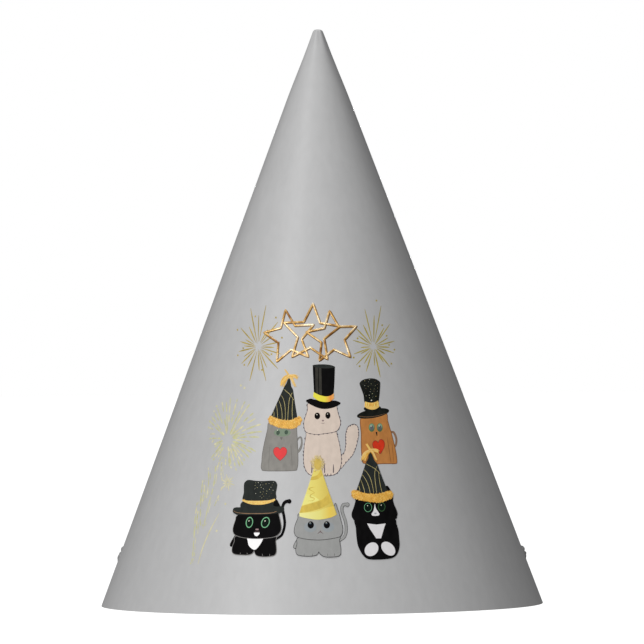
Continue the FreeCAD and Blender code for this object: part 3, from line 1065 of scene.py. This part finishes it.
def stone_cat():
    """Top left: a grey cat in a striped cone hat, with a red heart on its chest."""
    cat = Motif("print_cat_stone", -13, 43.7)
    loop = smooth([
        (5.6, 9.6), (6.2, 10.4), (6.8, 10.5), (7.05, 9.5), (7, 8.3), (6.7, 7.3), (6.2, 6.4),
        (5.6, 5.9),
    ], False)
    cat.stroke(loop, [0.5, 0.5, 0.55, 0.75, 0.7], 1, STONE_LINE)
    cat.stroke(loop, [0.3, 0.3, 0.32, 0.5, 0.45], 2, STONE_GREY)
    cat.edged(smooth([
        (-6, 1.5), (-5.8, 3), (-5.65, 5), (-5.2, 7.6), (-4.6, 10.2), (-3.9, 13), (-3.3, 15.2),
        (1, 15.6), (5.4, 15.4), (5.5, 13), (5.65, 10), (5.8, 7), (5.85, 4.4), (5.8, 2.2),
        (5.5, 0.8), (4.9, 0.3), (0, 0.15), (-5, 0.25), (-5.8, 0.7),
    ]), 3, STONE_GREY, 0.18, STONE_LINE)
    cat.line([(-3.5, 0.6), (-3.4, 4), (-3.2, 7.6)], [0.06, 0.14, 0.05], 4, STONE_LINE)
    cat.line([(4, 0.6), (3.9, 4.2), (3.6, 8.6)], [0.06, 0.14, 0.05], 4, STONE_LINE)
    cat.patch(oval(0.9, 12, 2.7, 1.2), 4, GREEN_HAZE)
    for x, y, across, up in ((-0.45, 12, 0.55, 0.75), (2.2, 12.1, 0.58, 0.68)):
        cat.patch(oval(x, y, across, up, -15), 5, EYE_DEEP)
    cat.patch(oval(-0.6, 12.75, 0.16, 0.14, 0, 10), 6, GLINT)
    cat.shape([(0.2, 10.5), (1, 10.5), (0.75, 9.9), (0.6, 9.6), (0.45, 9.9)], 4, STONE_LINE)
    cat.edged(heart(0.2, 5.45, 4.3, 4.15), 4, RED, 0.12, RED_EDGE)
    striped_cone(cat, (-2.75, 17.2), (5.75, 16.4), (3.25, 29.3), 1.4, 4)
    plush_band(cat, [
        (-3.6, 16.1), (-3, 17.1), (-1.5, 16.5), (0, 16.1), (2, 15.8), (4, 15.95), (5.6, 16.6),
        (6.5, 16.9),
    ], [
        (-3.2, 15), (-2, 14.3), (0, 13.65), (2, 13.3), (4, 13.3), (5.5, 13.8), (6.5, 14.7),
        (7.1, 16),
    ], 6, 21)
    tassel(cat, 3.25, 29.2, 6, 22)
    cat.finish()


def furry_rim(motif, outline, layer, material, seed, gap=0.75):
    """A thin line round a shape, with short hairs that follow it."""
    motif.rim(outline, 0.12, layer, material)
    pick = random.Random(seed)
    travelled = 0
    for before, after in zip(outline, outline[1:] + outline[:1]):
        step = after - before
        travelled += step.length
        if travelled < gap:
            continue
        travelled = pick.uniform(-0.15, 0.15)
        ahead = step.normalized()
        out = Vector((-ahead.y, ahead.x)) * pick.uniform(0.05, 0.3)
        end = before + ahead * pick.uniform(0.25, 0.5) + out
        motif.hair(before - ahead * 0.3, end, [0.12, 0.3, 0.1], layer, material)


def cream_cat():
    """Top middle: a cream cat with a plume of a tail, in a tall shiny top hat."""
    cat = Motif("print_cat_cream", 0.4, 42)
    tail = smooth([
        (5.5, 2.4), (7.4, 4.3), (8.5, 5.4), (9.6, 6.7), (10.5, 8.7), (11.1, 10.7), (11.5, 12.7),
        (11.5, 14.5), (11, 15.7), (10, 16.2), (8.9, 15.9), (8, 15.2), (7.5, 14), (7.3, 12.3),
        (7.3, 9.8), (7, 7.9), (6.3, 6.9), (5.4, 6),
    ])
    cat.patch(tail, 1, CREAM)
    furry_rim(cat, tail, 2, CREAM_LINE, 31, 0.8)
    body = smooth([
        (-5, 12.7), (-5.5, 10), (-5.75, 7.1), (-5.8, 4.9), (-5.6, 3.3), (-5, 1.8), (-4.2, 0.9),
        (-3, 0.4), (0.6, 0.3), (3.3, 0.5), (4.8, 1.4), (5.6, 2.8), (5.9, 4.6), (5.9, 6.3),
        (5.6, 8.8), (5.2, 10.8), (4.6, 13.2), (4.2, 14), (0, 14.2), (-4.6, 13.8),
    ])
    cat.patch(body, 4, CREAM)
    furry_rim(cat, body[::-1], 5, CREAM_LINE, 32, 1.1)
    marks(cat, (-3.3, 0.65, 3.4), 1.2, 3.8, 0.3, 5, CREAM_LINE)
    marks(cat, (-3.1, 0.8, 1.6, 2.6), 0.25, 0.95, 0.28, 5, CREAM_LINE)
    head = smooth([
        (-4.15, 22.8), (-4.5, 20.6), (-5.3, 18.3), (-5.65, 16.8), (-5.5, 14.8), (-4.75, 13.7),
        (-3, 13.2), (-1.4, 13.05), (0.8, 13.3), (3, 13.6), (4.35, 14), (5.2, 14.8), (5.75, 16.2),
        (5.65, 17.6), (5.2, 19.1), (4.8, 20.7), (4.1, 22.8), (0, 23.2),
    ])
    cat.patch(head, 6, CREAM)
    furry_rim(cat, head[::-1], 7, CREAM_LINE, 33, 1.2)
    cat_eye(cat, -1.45, 18.8, 0.88, 1.06, 7, EYE_BROWN, BLACK, 0.15, 0.13)
    cat_eye(cat, 1.85, 18.95, 0.8, 1.06, 7, EYE_BROWN, BLACK, 0.14, 0.13)
    cat.shape([(-0.05, 17.5), (0.65, 17.5), (0.3, 17)], 7, NOSE_GREY)
    cat.line([(-0.35, 16.55), (0.3, 16.5), (0.9, 16.6)], [0.08, 0.17, 0.08], 7, NOSE_GREY)
    cat.shape([
        (-2.4, 25.3), (-2.45, 26.2), (-2.6, 30), (-2.75, 34.1), (-2.5, 34.7), (0, 34.9),
        (2.5, 34.7), (4, 34.2), (4.15, 33.5), (4, 30), (3.75, 26), (3.6, 24.6), (0.6, 24),
    ], 8, BLACK)
    for x, width in ((-1.9, 0.22), (-1.45, 0.6), (-0.5, 0.85)):
        cat.line([(x + 0.12, 25.4), (x + 0.05, 29.5), (x, 33.9)], [width], 9, HAT_SHINE, 8)
    cat.edged(oval(0.65, 34.2, 3.35, 0.52, -3), 10, CHARCOAL, 0.08, HAT_SHINE)
    cat.shape([
        (-4.95, 23.6), (-4.2, 24), (-3.4, 24.2), (-2.2, 23.9), (0.8, 23.5), (3.6, 23.55),
        (4.7, 23.4), (5.85, 22.75), (5, 22), (4, 21.5), (2.5, 21.1), (1, 20.95), (-0.5, 21.1),
        (-2, 21.6), (-3.6, 22.4), (-4.5, 23),
    ], 8, BLACK)
    upper = [(-2.5, 26.2), (-1, 25.4), (0.5, 24.95), (1.6, 24.85), (2.8, 25.1), (3.75, 25.8)]
    lower = [(-2.7, 24.8), (-1.2, 23.6), (0.5, 23.15), (1.6, 23.1), (2.6, 23.3), (3.8, 24.2)]
    cat.patch(between(lower, upper), 11, BAND_FADE)
    cat.finish()


def ginger_cat():
    """Top right: a ginger cat with a red heart, in a speckled top hat set at an angle."""
    cat = Motif("print_cat_ginger", 18.9, 45.2)
    loop = smooth([
        (3.6, 10.4), (4.6, 10.3), (5.2, 9.5), (5.6, 8.1), (5.5, 6.9), (5.1, 6), (4.6, 5.6),
    ], False)
    cat.stroke(loop, [0.7, 0.72, 0.72, 0.7, 0.55], 1, GINGER_LINE)
    cat.stroke(loop, [0.55, 0.58, 0.58, 0.55, 0.4], 2, GINGER_DULL)
    cat.edged(smooth([
        (-6.2, 15), (-6.2, 10), (-6.25, 7), (-6.2, 4.5), (-5.9, 1.6), (-5.4, 0.8), (-2.8, 0.5),
        (0, 0.6), (3, 0.6), (5.2, 0.6), (5.6, 1.2), (5.4, 3.6), (4.9, 6), (4.4, 8), (3.9, 10),
        (3.2, 12.2), (2.7, 14), (2.2, 16.2), (-2, 15.6),
    ]), 3, GINGER, 0.2, GINGER_LINE)
    cat.line([(2.3, 9), (2.8, 6), (3.2, 3.2), (3.5, 0.9)], [0.05, 0.16, 0.14, 0.1], 4, GINGER_LINE)
    cat.line([(4, 7.6), (4.2, 4.4), (4.5, 1)], [0.05, 0.12, 0.08], 4, GINGER_LINE)
    for x in (-2.75, -0.05):
        cat.patch(oval(x, 11.85, 0.98, 1.32), 4, EYE_LEAF)
        cat.patch(oval(x, 12.05, 0.78, 1.02), 5, EYE_SAGE)
        cat.patch(oval(x + 0.02, 11.65, 0.62, 0.82, 0, 18), 6, EYE_SLATE)
        cat.patch(oval(x - 0.2, 12.3, 0.15, 0.18, 0, 10), 7, GLINT)
    cat.line([(-1.2, 10.5), (-1.15, 10), (-1, 9.2)], [0.5, 0.42, 0.14], 5, HAT_DARK)
    cat.edged(heart(-0.4, 5.85, 4, 4.3, 11), 4, RED_ORANGE, 0.16, RED_EDGE)
    cat.patch(oval(-2.1, 16.25, 5.45, 1.4, 9, 34), 5, HAT_DARK)
    cat.line([(-6.8, 15.4), (-4, 15.15), (-1, 15.45), (2, 16.2)], [0.06, 0.12, 0.1, 0.05], 6, BRIM_GOLD)
    cat.shape([
        (-4.9, 18.2), (-5, 17.3), (-2.4, 16.4), (0.15, 17.6), (0.1, 18.4), (-2.5, 18.6),
    ], 6, HAT_DARK)
    cat.shape([
        (-6.5, 25.4), (-6.2, 26.2), (-5, 26.9), (-3, 27.2), (-1.2, 27), (0.2, 26.2), (0.4, 25.2),
        (0.2, 23), (-0.1, 21), (-0.5, 19.5), (-2.6, 18.8), (-4.8, 19.4), (-5.3, 22), (-6, 24),
    ], 6, HAT_DARK)
    cat.rim(oval(-3, 25.9, 3.1, 0.95, 1, 30), 0.07, 7, HAT_SHINE)
    upper = [(-4.85, 20), (-4.2, 19.75), (-2.8, 19.55), (-1.5, 19.75), (-0.5, 20.2)]
    lower = [(-5, 18.3), (-4, 17.7), (-2.6, 17.4), (-1.2, 17.6), (-0.1, 18.3)]
    cat.patch(between(lower, upper), 8, BAND_PALE)
    pick = random.Random(41)
    for k in range(16):
        x = -4.7 + 4.3 * k / 15
        low = 17.9 + pick.uniform(0, 0.5) + abs(x + 2.6) * 0.2
        tone = pick.choice((BAND_GOLD, LEMON_PALE, BAND_DEEP))
        cat.line([(x, low), (x + 0.1, low + 0.6), (x, low + 1.1)], [0.06, 0.22, 0.06], 9, tone, 3)
    speckles(cat, (-5, 20.8), (-0.4, 26.8), 24, 8, 43)
    cat.patch(oval(-2.7, 20.3, 0.2, 0.2, 0, 10), 9, GLINT)
    cat.finish()


def tuxedo_cat():
    """Bottom left: a black cat with a white bib, in a wide speckled top hat."""
    cat = Motif("print_cat_tuxedo", -21.4, 17.2, 12)
    tail = smooth([
        (7.2, 5.8), (8.9, 6.9), (9.65, 8.6), (9.98, 10.4), (9.85, 12.2), (9.5, 14), (9.3, 15.2),
        (9.6, 16.4), (10.3, 17.15), (11.3, 17.35),
    ], False)
    cat.stroke(tail, [0.7, 0.75, 0.8, 0.85, 0.9, 1.1], 1, BLACK)
    cat.patch(oval(11.45, 17.3, 0.66, 0.7, 0, 16), 1, BLACK)
    cat.line([(-6, 6.8), (-6.9, 5.3), (-7.6, 3.9)], [0.5, 0.75, 0.95], 1, BLACK)
    cat.patch(oval(-7.55, 3.85, 0.46, 0.46, 0, 14), 1, BLACK)
    body = smooth([
        (-5.7, 6.6), (-6.4, 4.9), (-7, 3.5), (-7.2, 2.3), (-6.9, 1.5), (-6, 1.1), (-4, 0.95),
        (-2, 0.95), (-0.6, 1.3), (0, 2), (0.2, 2.4), (0.45, 1.6), (1, 0.8), (2.5, 0.45),
        (4.5, 0.45), (6.5, 0.8), (7.2, 1.6), (7.3, 3), (7.1, 5), (6.8, 6.6), (0.5, 7.2),
    ])
    cat.rim(body, 0.3, 2, EDGE_GREY)
    cat.patch(body, 3, BLACK)
    bib = [
        (-1.9, 6.1), (-1.85, 5), (-1.6, 3.9), (-0.8, 3), (0.2, 2.5), (0.9, 2.7), (1.8, 3.6),
        (2.5, 4.6), (2.9, 5.4), (3, 6.1), (0.5, 6.3),
    ]
    cat.patch(ragged(divided(smooth(bib, True, 4), 0.3), 0.05, 50), 4, WHITE)
    marks(cat, (-4.4, -2.1), 1.1, 1.6, 0.14, 4, EDGE_GREY)
    marks(cat, (2.9, 5.2), 0.65, 1.2, 0.14, 4, EDGE_GREY)
    head = smooth([
        (-5.1, 13.1), (-6.1, 11.4), (-6.8, 9.4), (-6.9, 8.2), (-6.5, 7.3), (-5.7, 6.8), (-4, 6.3),
        (-1.5, 6), (1, 5.9), (4, 6.05), (6.6, 6.45), (8.1, 7.3), (8.8, 8.6), (8.8, 10),
        (8.5, 11.6), (8.1, 13.2), (7.8, 14.4), (1, 14.6),
    ])
    cat.rim(head, 0.28, 5, EDGE_GREY)
    cat.patch(head, 6, BLACK)
    for x, across, up, lean in ((-1.35, 1.2, 1.7, -12), (3.9, 1.32, 1.76, -26)):
        cat.patch(oval(x, 10.8, across, up, lean), 7, EYE_GREEN)
        cat.patch(oval(x, 10.8, across - 0.28, up - 0.29, lean), 8, EYE_DARK)
        cat.patch(oval(x - 0.12, 11.25, 0.15, 0.22, -25, 12), 9, GLINT)
    cat.patch(oval(1.2, 8.7, 0.58, 0.18, 0, 16), 7, NOSE_PINK)
    cat.line([(0.4, 8.05), (1.2, 8.2), (2, 8.05)], [0.1, 0.22, 0.1], 7, MOUTH)
    cat.shape([(0.15, 7.6), (1.1, 7.7), (2.05, 7.6), (1.5, 6.8), (1, 6.6), (0.5, 6.8)], 7, WHITE)
    cat.shape([
        (-7.1, 14.3), (-6.8, 15.1), (-6, 15.4), (-4.4, 15.5), (-3.9, 16.4), (1.6, 16.8),
        (7.2, 16.8), (8.2, 16.2), (8.7, 15.8), (9.6, 15.5), (9.8, 14.7), (9.4, 14), (7.6, 13.6),
        (4, 13.2), (0, 13.1), (-4.9, 13.1), (-6.1, 13.3), (-6.9, 13.8),
    ], 8, CHARCOAL)
    edge = [(-6.8, 14.3), (-5.6, 13.8), (-3, 13.55), (0, 13.5), (3.5, 13.55), (6, 13.75), (7.5, 14.2)]
    cat.line(edge, [0.1, 0.16, 0.2, 0.2, 0.2, 0.1], 9, BRIM_GOLD)
    cat.shape([
        (-4.1, 15.2), (-3.4, 17.3), (1.6, 16.9), (6.7, 17.5), (7.9, 15.8), (1.6, 14.8),
    ], 9, CHARCOAL)
    cat.shape([(6.4, 16.2), (7, 17.4), (7.45, 17.9), (7.9, 17.2), (8.5, 15.9), (7.2, 15.7)], 10, BLACK)
    cat.shape([
        (-3.4, 17.4), (-3.3, 20), (-3.25, 22.5), (-2.6, 23.5), (-1.5, 23.85), (0.5, 23.6),
        (3, 23.5), (6.5, 23.6), (7.4, 23), (7.6, 22), (7.2, 20), (6.9, 17.8), (1.7, 16.8),
    ], 10, CHARCOAL)
    band = smooth([
        (-3.9, 17.6), (-2.2, 17.1), (-0.5, 16.85), (1.5, 16.8), (3.5, 16.9), (5.3, 17.2),
        (7, 17.8),
    ], False, 7)
    cat.stroke(band, [0.3, 0.8, 1.15, 1.22, 1.15, 0.85, 0.5], 11, BAND_PALE)
    pick = random.Random(52)
    for k in range(26):
        root = band[2 + round(k * (len(band) - 6) / 25)] + Vector((0, pick.uniform(-0.4, 0.3)))
        tone = pick.choice((BAND_GOLD, LEMON_PALE, BAND_GOLD))
        cat.hair(root, root + Vector((0.5, 0.1)), [0.06, 0.16, 0.06], 12, tone)
    speckles(cat, (0.3, 17.9), (6.5, 23.2), 30, 11, 53)
    cat.finish()


TUFT_HAIRS = 220


def smoke_cat():
    """Bottom middle: a grey kitten in a yellow cone hat with swept bands."""
    cat = Motif("print_cat_smoke", -1.1, 17.2, 12)
    tail = smooth([
        (6.4, 5.2), (7.9, 6.1), (8.6, 7.6), (8.7, 9.5), (8.4, 11.4), (7.75, 13.2), (7.4, 14.9),
        (7.9, 16.1), (9.1, 16.2),
    ], False)
    for size, layer, tone in ((0.9, 1, SMOKE_LINE), (0.68, 2, SMOKE)):
        cat.stroke(tail, [size * 0.9, size, size, size * 1.1], layer, tone)
        cat.patch(oval(9.15, 16.15, 0.22 + size / 2, 0.22 + size / 2, 0, 16), layer, tone)
    cat.edged(smooth([
        (-5.9, 6.4), (-7, 4.9), (-7.65, 3.4), (-7.2, 2.9), (-6.6, 3.2), (-6, 5),
    ]), 2, SMOKE, 0.14, SMOKE_LINE)
    cat.edged(smooth([
        (-6, 6.2), (-6.5, 4.2), (-6.9, 2.5), (-6.6, 1.2), (-5.5, 0.7), (-3, 0.5), (-1, 0.7),
        (-0.1, 1.2), (0.2, 1.8), (0.6, 1.2), (1.6, 0.45), (3, 0.2), (5.5, 0.3), (6.7, 0.7),
        (7, 1.8), (6.9, 3.5), (6.6, 5.2), (6.3, 6.4), (0, 6.8),
    ]), 4, SMOKE, 0.17, SMOKE_LINE)
    marks(cat, (-4.3, -1.8, 2.9, 5), 0.6, 1.3, 0.12, 5, SMOKE_LINE)
    cat.edged(smooth([
        (-5.6, 13.6), (-6.2, 12), (-6.9, 10.4), (-7.3, 8.8), (-7.3, 7.6), (-6.6, 6.5), (-5.3, 6),
        (-3, 5.6), (0, 5.4), (3, 5.6), (6.2, 6.15), (7.1, 6.7), (7.6, 7.9), (7.55, 9.5),
        (7.1, 11.3), (6.6, 13.3), (6.1, 14.9), (5.4, 16.6), (4.4, 15), (0, 13.6),
    ]), 6, SMOKE, 0.17, SMOKE_LINE)
    for x, halo in ((-2.2, -2.35), (2.75, 3.1)):
        cat.patch(oval(halo, 9.35, 1.9, 1.55), 7, HALO)
        cat.patch(oval(x, 10, 0.98, 1.1), 8, BLACK)
        cat.patch(oval(x - 0.15, 10.45, 0.42, 0.34, 0, 16), 9, EYE_SLATE_DEEP)
        cat.patch(oval(x - 0.2, 10.6, 0.12, 0.13, 0, 12), 10, GLINT)
    cat.line([
        (-0.1, 7.3), (0.35, 7.7), (0.7, 7.9), (1.1, 7.7), (1.6, 7.3),
    ], [0.12, 0.3, 0.12], 8, MOUTH)
    cat.line([(0.75, 7.9), (0.8, 8.3)], [0.3, 0.12], 8, MOUTH)
    hat = Cone((-5.8, 13.4), (5.9, 13.1), (-0.05, 30), 1.55)
    edge = [(1, 0.2), (1, 0.5), (1.04, 0.75), (1.15, 0.86), (-0.1, 0.86), (0, 0.75), (0, 0.4), (0, 0.1)]
    cat.patch(divided(hat.outline(edge)), 11, LEMON_FADE)
    cat.patch(hat.band(
        [(0.03, -0.045), (0.2, -0.075), (0.5, -0.1), (0.8, -0.06), (0.97, -0.01)],
        [(0.01, 0.01), (0.25, 0.025), (0.5, 0.06), (0.75, 0.12), (0.99, 0.15)],
    ), 12, LEMON_PALE_FADE)
    cat.patch(hat.band(
        [(0, 0.02), (0.2, 0.035), (0.45, 0.08), (0.7, 0.14), (0.99, 0.235)],
        [(0, 0.145), (0.2, 0.18), (0.5, 0.235), (0.72, 0.29), (0.99, 0.4)],
    ), 13, LEMON_DEEP)
    cat.patch(hat.band(
        [(0, 0.16), (0.2, 0.19), (0.45, 0.235), (0.55, 0.26)],
        [(0, 0.37), (0.15, 0.36), (0.35, 0.33), (0.55, 0.26)],
    ), 12, LEMON_PALE)
    cat.patch(hat.band(
        [(0, 0.62), (0.5, 0.64), (0.99, 0.72)],
        [(0, 0.68), (0.5, 0.72), (0.99, 0.82)],
    ), 12, LEMON_DEEP)
    curls = [
        [(-0.7, 21.6), (-1.9, 21.4), (-2.7, 21), (-1.7, 20.4), (-0.9, 19.8)],
        [(-0.9, 19.8), (-2, 19.3), (-2.3, 18.6), (-1.1, 18.1), (-1.4, 17.5), (-3, 17.3)],
        [(-1.6, 24.2), (-0.9, 24), (-0.2, 24.7)],
        [(-1.3, 26.6), (-0.7, 26.4), (-0.1, 27.2)],
    ]
    for curl in curls:
        cat.line(curl, [0.08, 0.24, 0.2, 0.06], 14, LEMON_DEEP)
    pick = random.Random(61)
    cat.patch(ragged(divided(oval(0.1, 28.5, 1.05, 1.7)), 0.15, 62), 15, TUFT)
    for _ in range(TUFT_HAIRS):
        ahead = heading(pick.uniform(0, 2 * math.pi)) * Vector((0.85, 1))
        reach = 0.9 + 1.1 * pick.random() ** 1.3
        root = Vector((0.1, 28.8)) + ahead * reach
        end = root + ahead * 0.7 + Vector((pick.uniform(-0.2, 0.2), 0.15))
        tone = TUFT if reach < 1.15 else TUFT_PALE
        cat.hair(root, end, [0.2, 0.14, 0.04], 14, tone)
    cat.finish()


def magpie_cat():
    """Bottom right: a black and white cat in a striped cone hat with a plush band."""
    cat = Motif("print_cat_magpie", 17.9, 16.2, 12)
    cat.shape([
        (-7.2, 13), (-7.25, 10), (-7.05, 7), (-6.75, 5), (-6.1, 3.3), (-5.1, 1.7), (-3.8, 0.6),
        (-2, 0.3), (1, 0.3), (4, 0.6), (5.5, 1.4), (6.4, 2.8), (6.8, 4.6), (6.7, 6.5), (6.5, 9),
        (5.9, 11), (5.2, 12.6), (0, 13.6),
    ], 1, BLACK)
    cat.shape([
        (-7.2, 12.3), (-8, 12.7), (-8.5, 13.6), (-8.5, 14.6), (-8.1, 15.7), (-7.7, 16.8),
        (-7.3, 18.2), (-6.9, 19.6), (-1.5, 20.2), (4.3, 19.8), (4.9, 18.1), (5.3, 16.8),
        (5.9, 15.5), (6.3, 14.3), (6.1, 13.4), (5.3, 12.4), (-1, 11.6),
    ], 2, BLACK)
    cat.shape([(2.1, 20.9), (2.3, 22.4), (3, 22.8), (3.6, 22.2), (4.1, 21.2), (3.4, 20.6)], 1, BLACK)
    # its whites are painted shade: the darker copy of the white ink
    cat.shape([
        (-1.15, 17.3), (-0.85, 16), (-0.1, 14.8), (0.3, 14.15), (0.05, 13.7), (-1, 13.55),
        (-2, 13.7), (-2.25, 14.2), (-1.7, 15), (-1.35, 16.2),
    ], 3, WHITE_SHADED)
    cat.shape([(-1.4, 14.5), (-0.6, 14.5), (-1, 14)], 4, SMOKE_PALE)
    bib = [(-3.7, 11.3), (-2.8, 9.6), (-0.85, 6.7), (0.7, 6.7), (1.8, 10), (2.3, 11.2), (-0.7, 10.9)]
    cat.patch(divided(bib), 3, WHITE_SHADED)
    cat.patch(oval(-2.4, 3.4, 2.35, 1.92, 38, 30), 3, WHITE_SHADED)
    cat.patch(oval(3, 3.5, 2.6, 1.75, -40, 30), 3, WHITE_SHADED)
    cat_eye(cat, -3.35, 16.2, 1.26, 1.4, 3, EYE_GREEN, EYE_DARK, 0.14, 0.13)
    cat_eye(cat, 1.05, 16.3, 1.18, 1.38, 3, EYE_LEAF, EYE_DARK, 0.14, 0.13)
    striped_cone(cat, (-7, 21.3), (3, 21.3), (-2.3, 33.3), 1.3, 5)
    plush_band(cat, [
        (-8.35, 20.8), (-7.9, 21.45), (-7, 21.35), (-6, 20.95), (-4.5, 20.6), (-2, 20.25),
        (0.5, 20.35), (2.5, 20.85), (4, 21.1),
    ], [
        (-8.3, 19.9), (-7.8, 19.2), (-6.8, 18.8), (-5, 18.3), (-1, 17.7), (1.2, 17.8), (3.2, 18.5),
        (4.4, 19.1), (4.8, 20.2),
    ], 7, 71)
    tassel(cat, -2.3, 33.3, 7, 72)
    cat.finish()


make_stars()
make_burst("print_burst_left", -20.4, 82.6, (8.6, 13.6, 7.4, 11.6), SPARK_GOLD, 3)
make_burst("print_burst_right", 17.3, 82.4, (7.8, 13.4, 7.4, 9.6), SPARK_DEEP, 8)
make_palm()
stone_cat()
cream_cat()
ginger_cat()
tuxedo_cat()
smoke_cat()
magpie_cat()


# ---- floor and light
def make_floor():
    material, tree, shader = start_material("studio_floor")
    pale = ramp(tree, noise(tree, 3.0), [(0.3, (0.92, 0.92, 0.92)), (0.7, (0.94, 0.94, 0.94))])
    wire(tree, pale, shader.inputs["Base Color"])
    shader.inputs["Roughness"].default_value = 0.9
    shader.inputs["Specular IOR Level"].default_value = 0.0
    half = 30.0
    corners = [(-half, -half, 0), (half, -half, 0), (half, half, 0), (-half, half, 0)]
    floor = new_mesh("floor", corners, [(0, 1, 2, 3)], [material])
    floor.location.z = -0.00002  # a hair below the rim, so that no two faces coincide
    floor.visible_diffuse = False
    floor.visible_glossy = False
    return floor


def make_sun(name, azimuth, elevation, strength, softness, lit, blockers=None):
    """A soft studio light: azimuth in degrees to the right of the camera, elevation above
    the floor, the width of the light as seen from the hat, the objects that it lights and
    those that can cast its shadows."""
    data = bpy.data.lights.new(name, "SUN")
    data.energy = strength
    data.angle = math.radians(softness)
    lamp = bpy.data.objects.new(name, data)
    a, e = math.radians(azimuth), math.radians(elevation)
    towards = Vector((math.sin(a) * math.cos(e), -math.cos(a) * math.cos(e), math.sin(e)))
    lamp.rotation_mode = "QUATERNION"
    lamp.rotation_quaternion = towards.to_track_quat("Z", "Y")
    lamp.location = towards * 3
    bpy.context.scene.collection.objects.link(lamp)
    lamp.light_linking.receiver_collection = lit
    if blockers:
        lamp.light_linking.blocker_collection = blockers


def group(name, members):
    """A collection used only to tell the lights what to light."""
    collection = bpy.data.collections.new(name)
    for item in members:
        collection.objects.link(item)
    return collection


def make_light():
    solids = [item for item in bpy.context.scene.objects if item.type == "MESH"]
    hat = group("the_hat", solids)
    floor = group("the_floor", [make_floor()])
    make_sun("window_light", -40, 30, 0.89, 20, hat)
    make_sun("side_light", -38, 12, 0.98, 12, hat)
    make_sun("front_light", 0, 12, 0.92, 12, hat)
    make_sun("back_light", 180, 4, 1.6, 8, hat)
    make_sun("top_light", 0, 85, 1.2, 20, hat)
    make_sun("floor_light", -20, 75, 3.55, 30, floor, floor)
    world = bpy.data.worlds.new("studio")
    bpy.context.scene.world = world
    world.use_nodes = True
    tree = world.node_tree
    room = add(tree, "Background", Color=(1, 1, 1, 1), Strength=0.12)
    backdrop = add(tree, "Background", Color=(1, 1, 1, 1), Strength=1)
    seen = add(tree, "LightPath")
    choose = add(tree, "MixShader")
    wire(tree, seen.outputs["Is Camera Ray"], choose.inputs["Fac"])
    wire(tree, room.outputs["Background"], choose.inputs[1])
    wire(tree, backdrop.outputs["Background"], choose.inputs[2])
    wire(tree, choose.outputs["Shader"], tree.nodes["World Output"].inputs["Surface"])
    bpy.context.scene.view_settings.view_transform = "Standard"
    bpy.context.scene.view_settings.look = "None"


make_light()
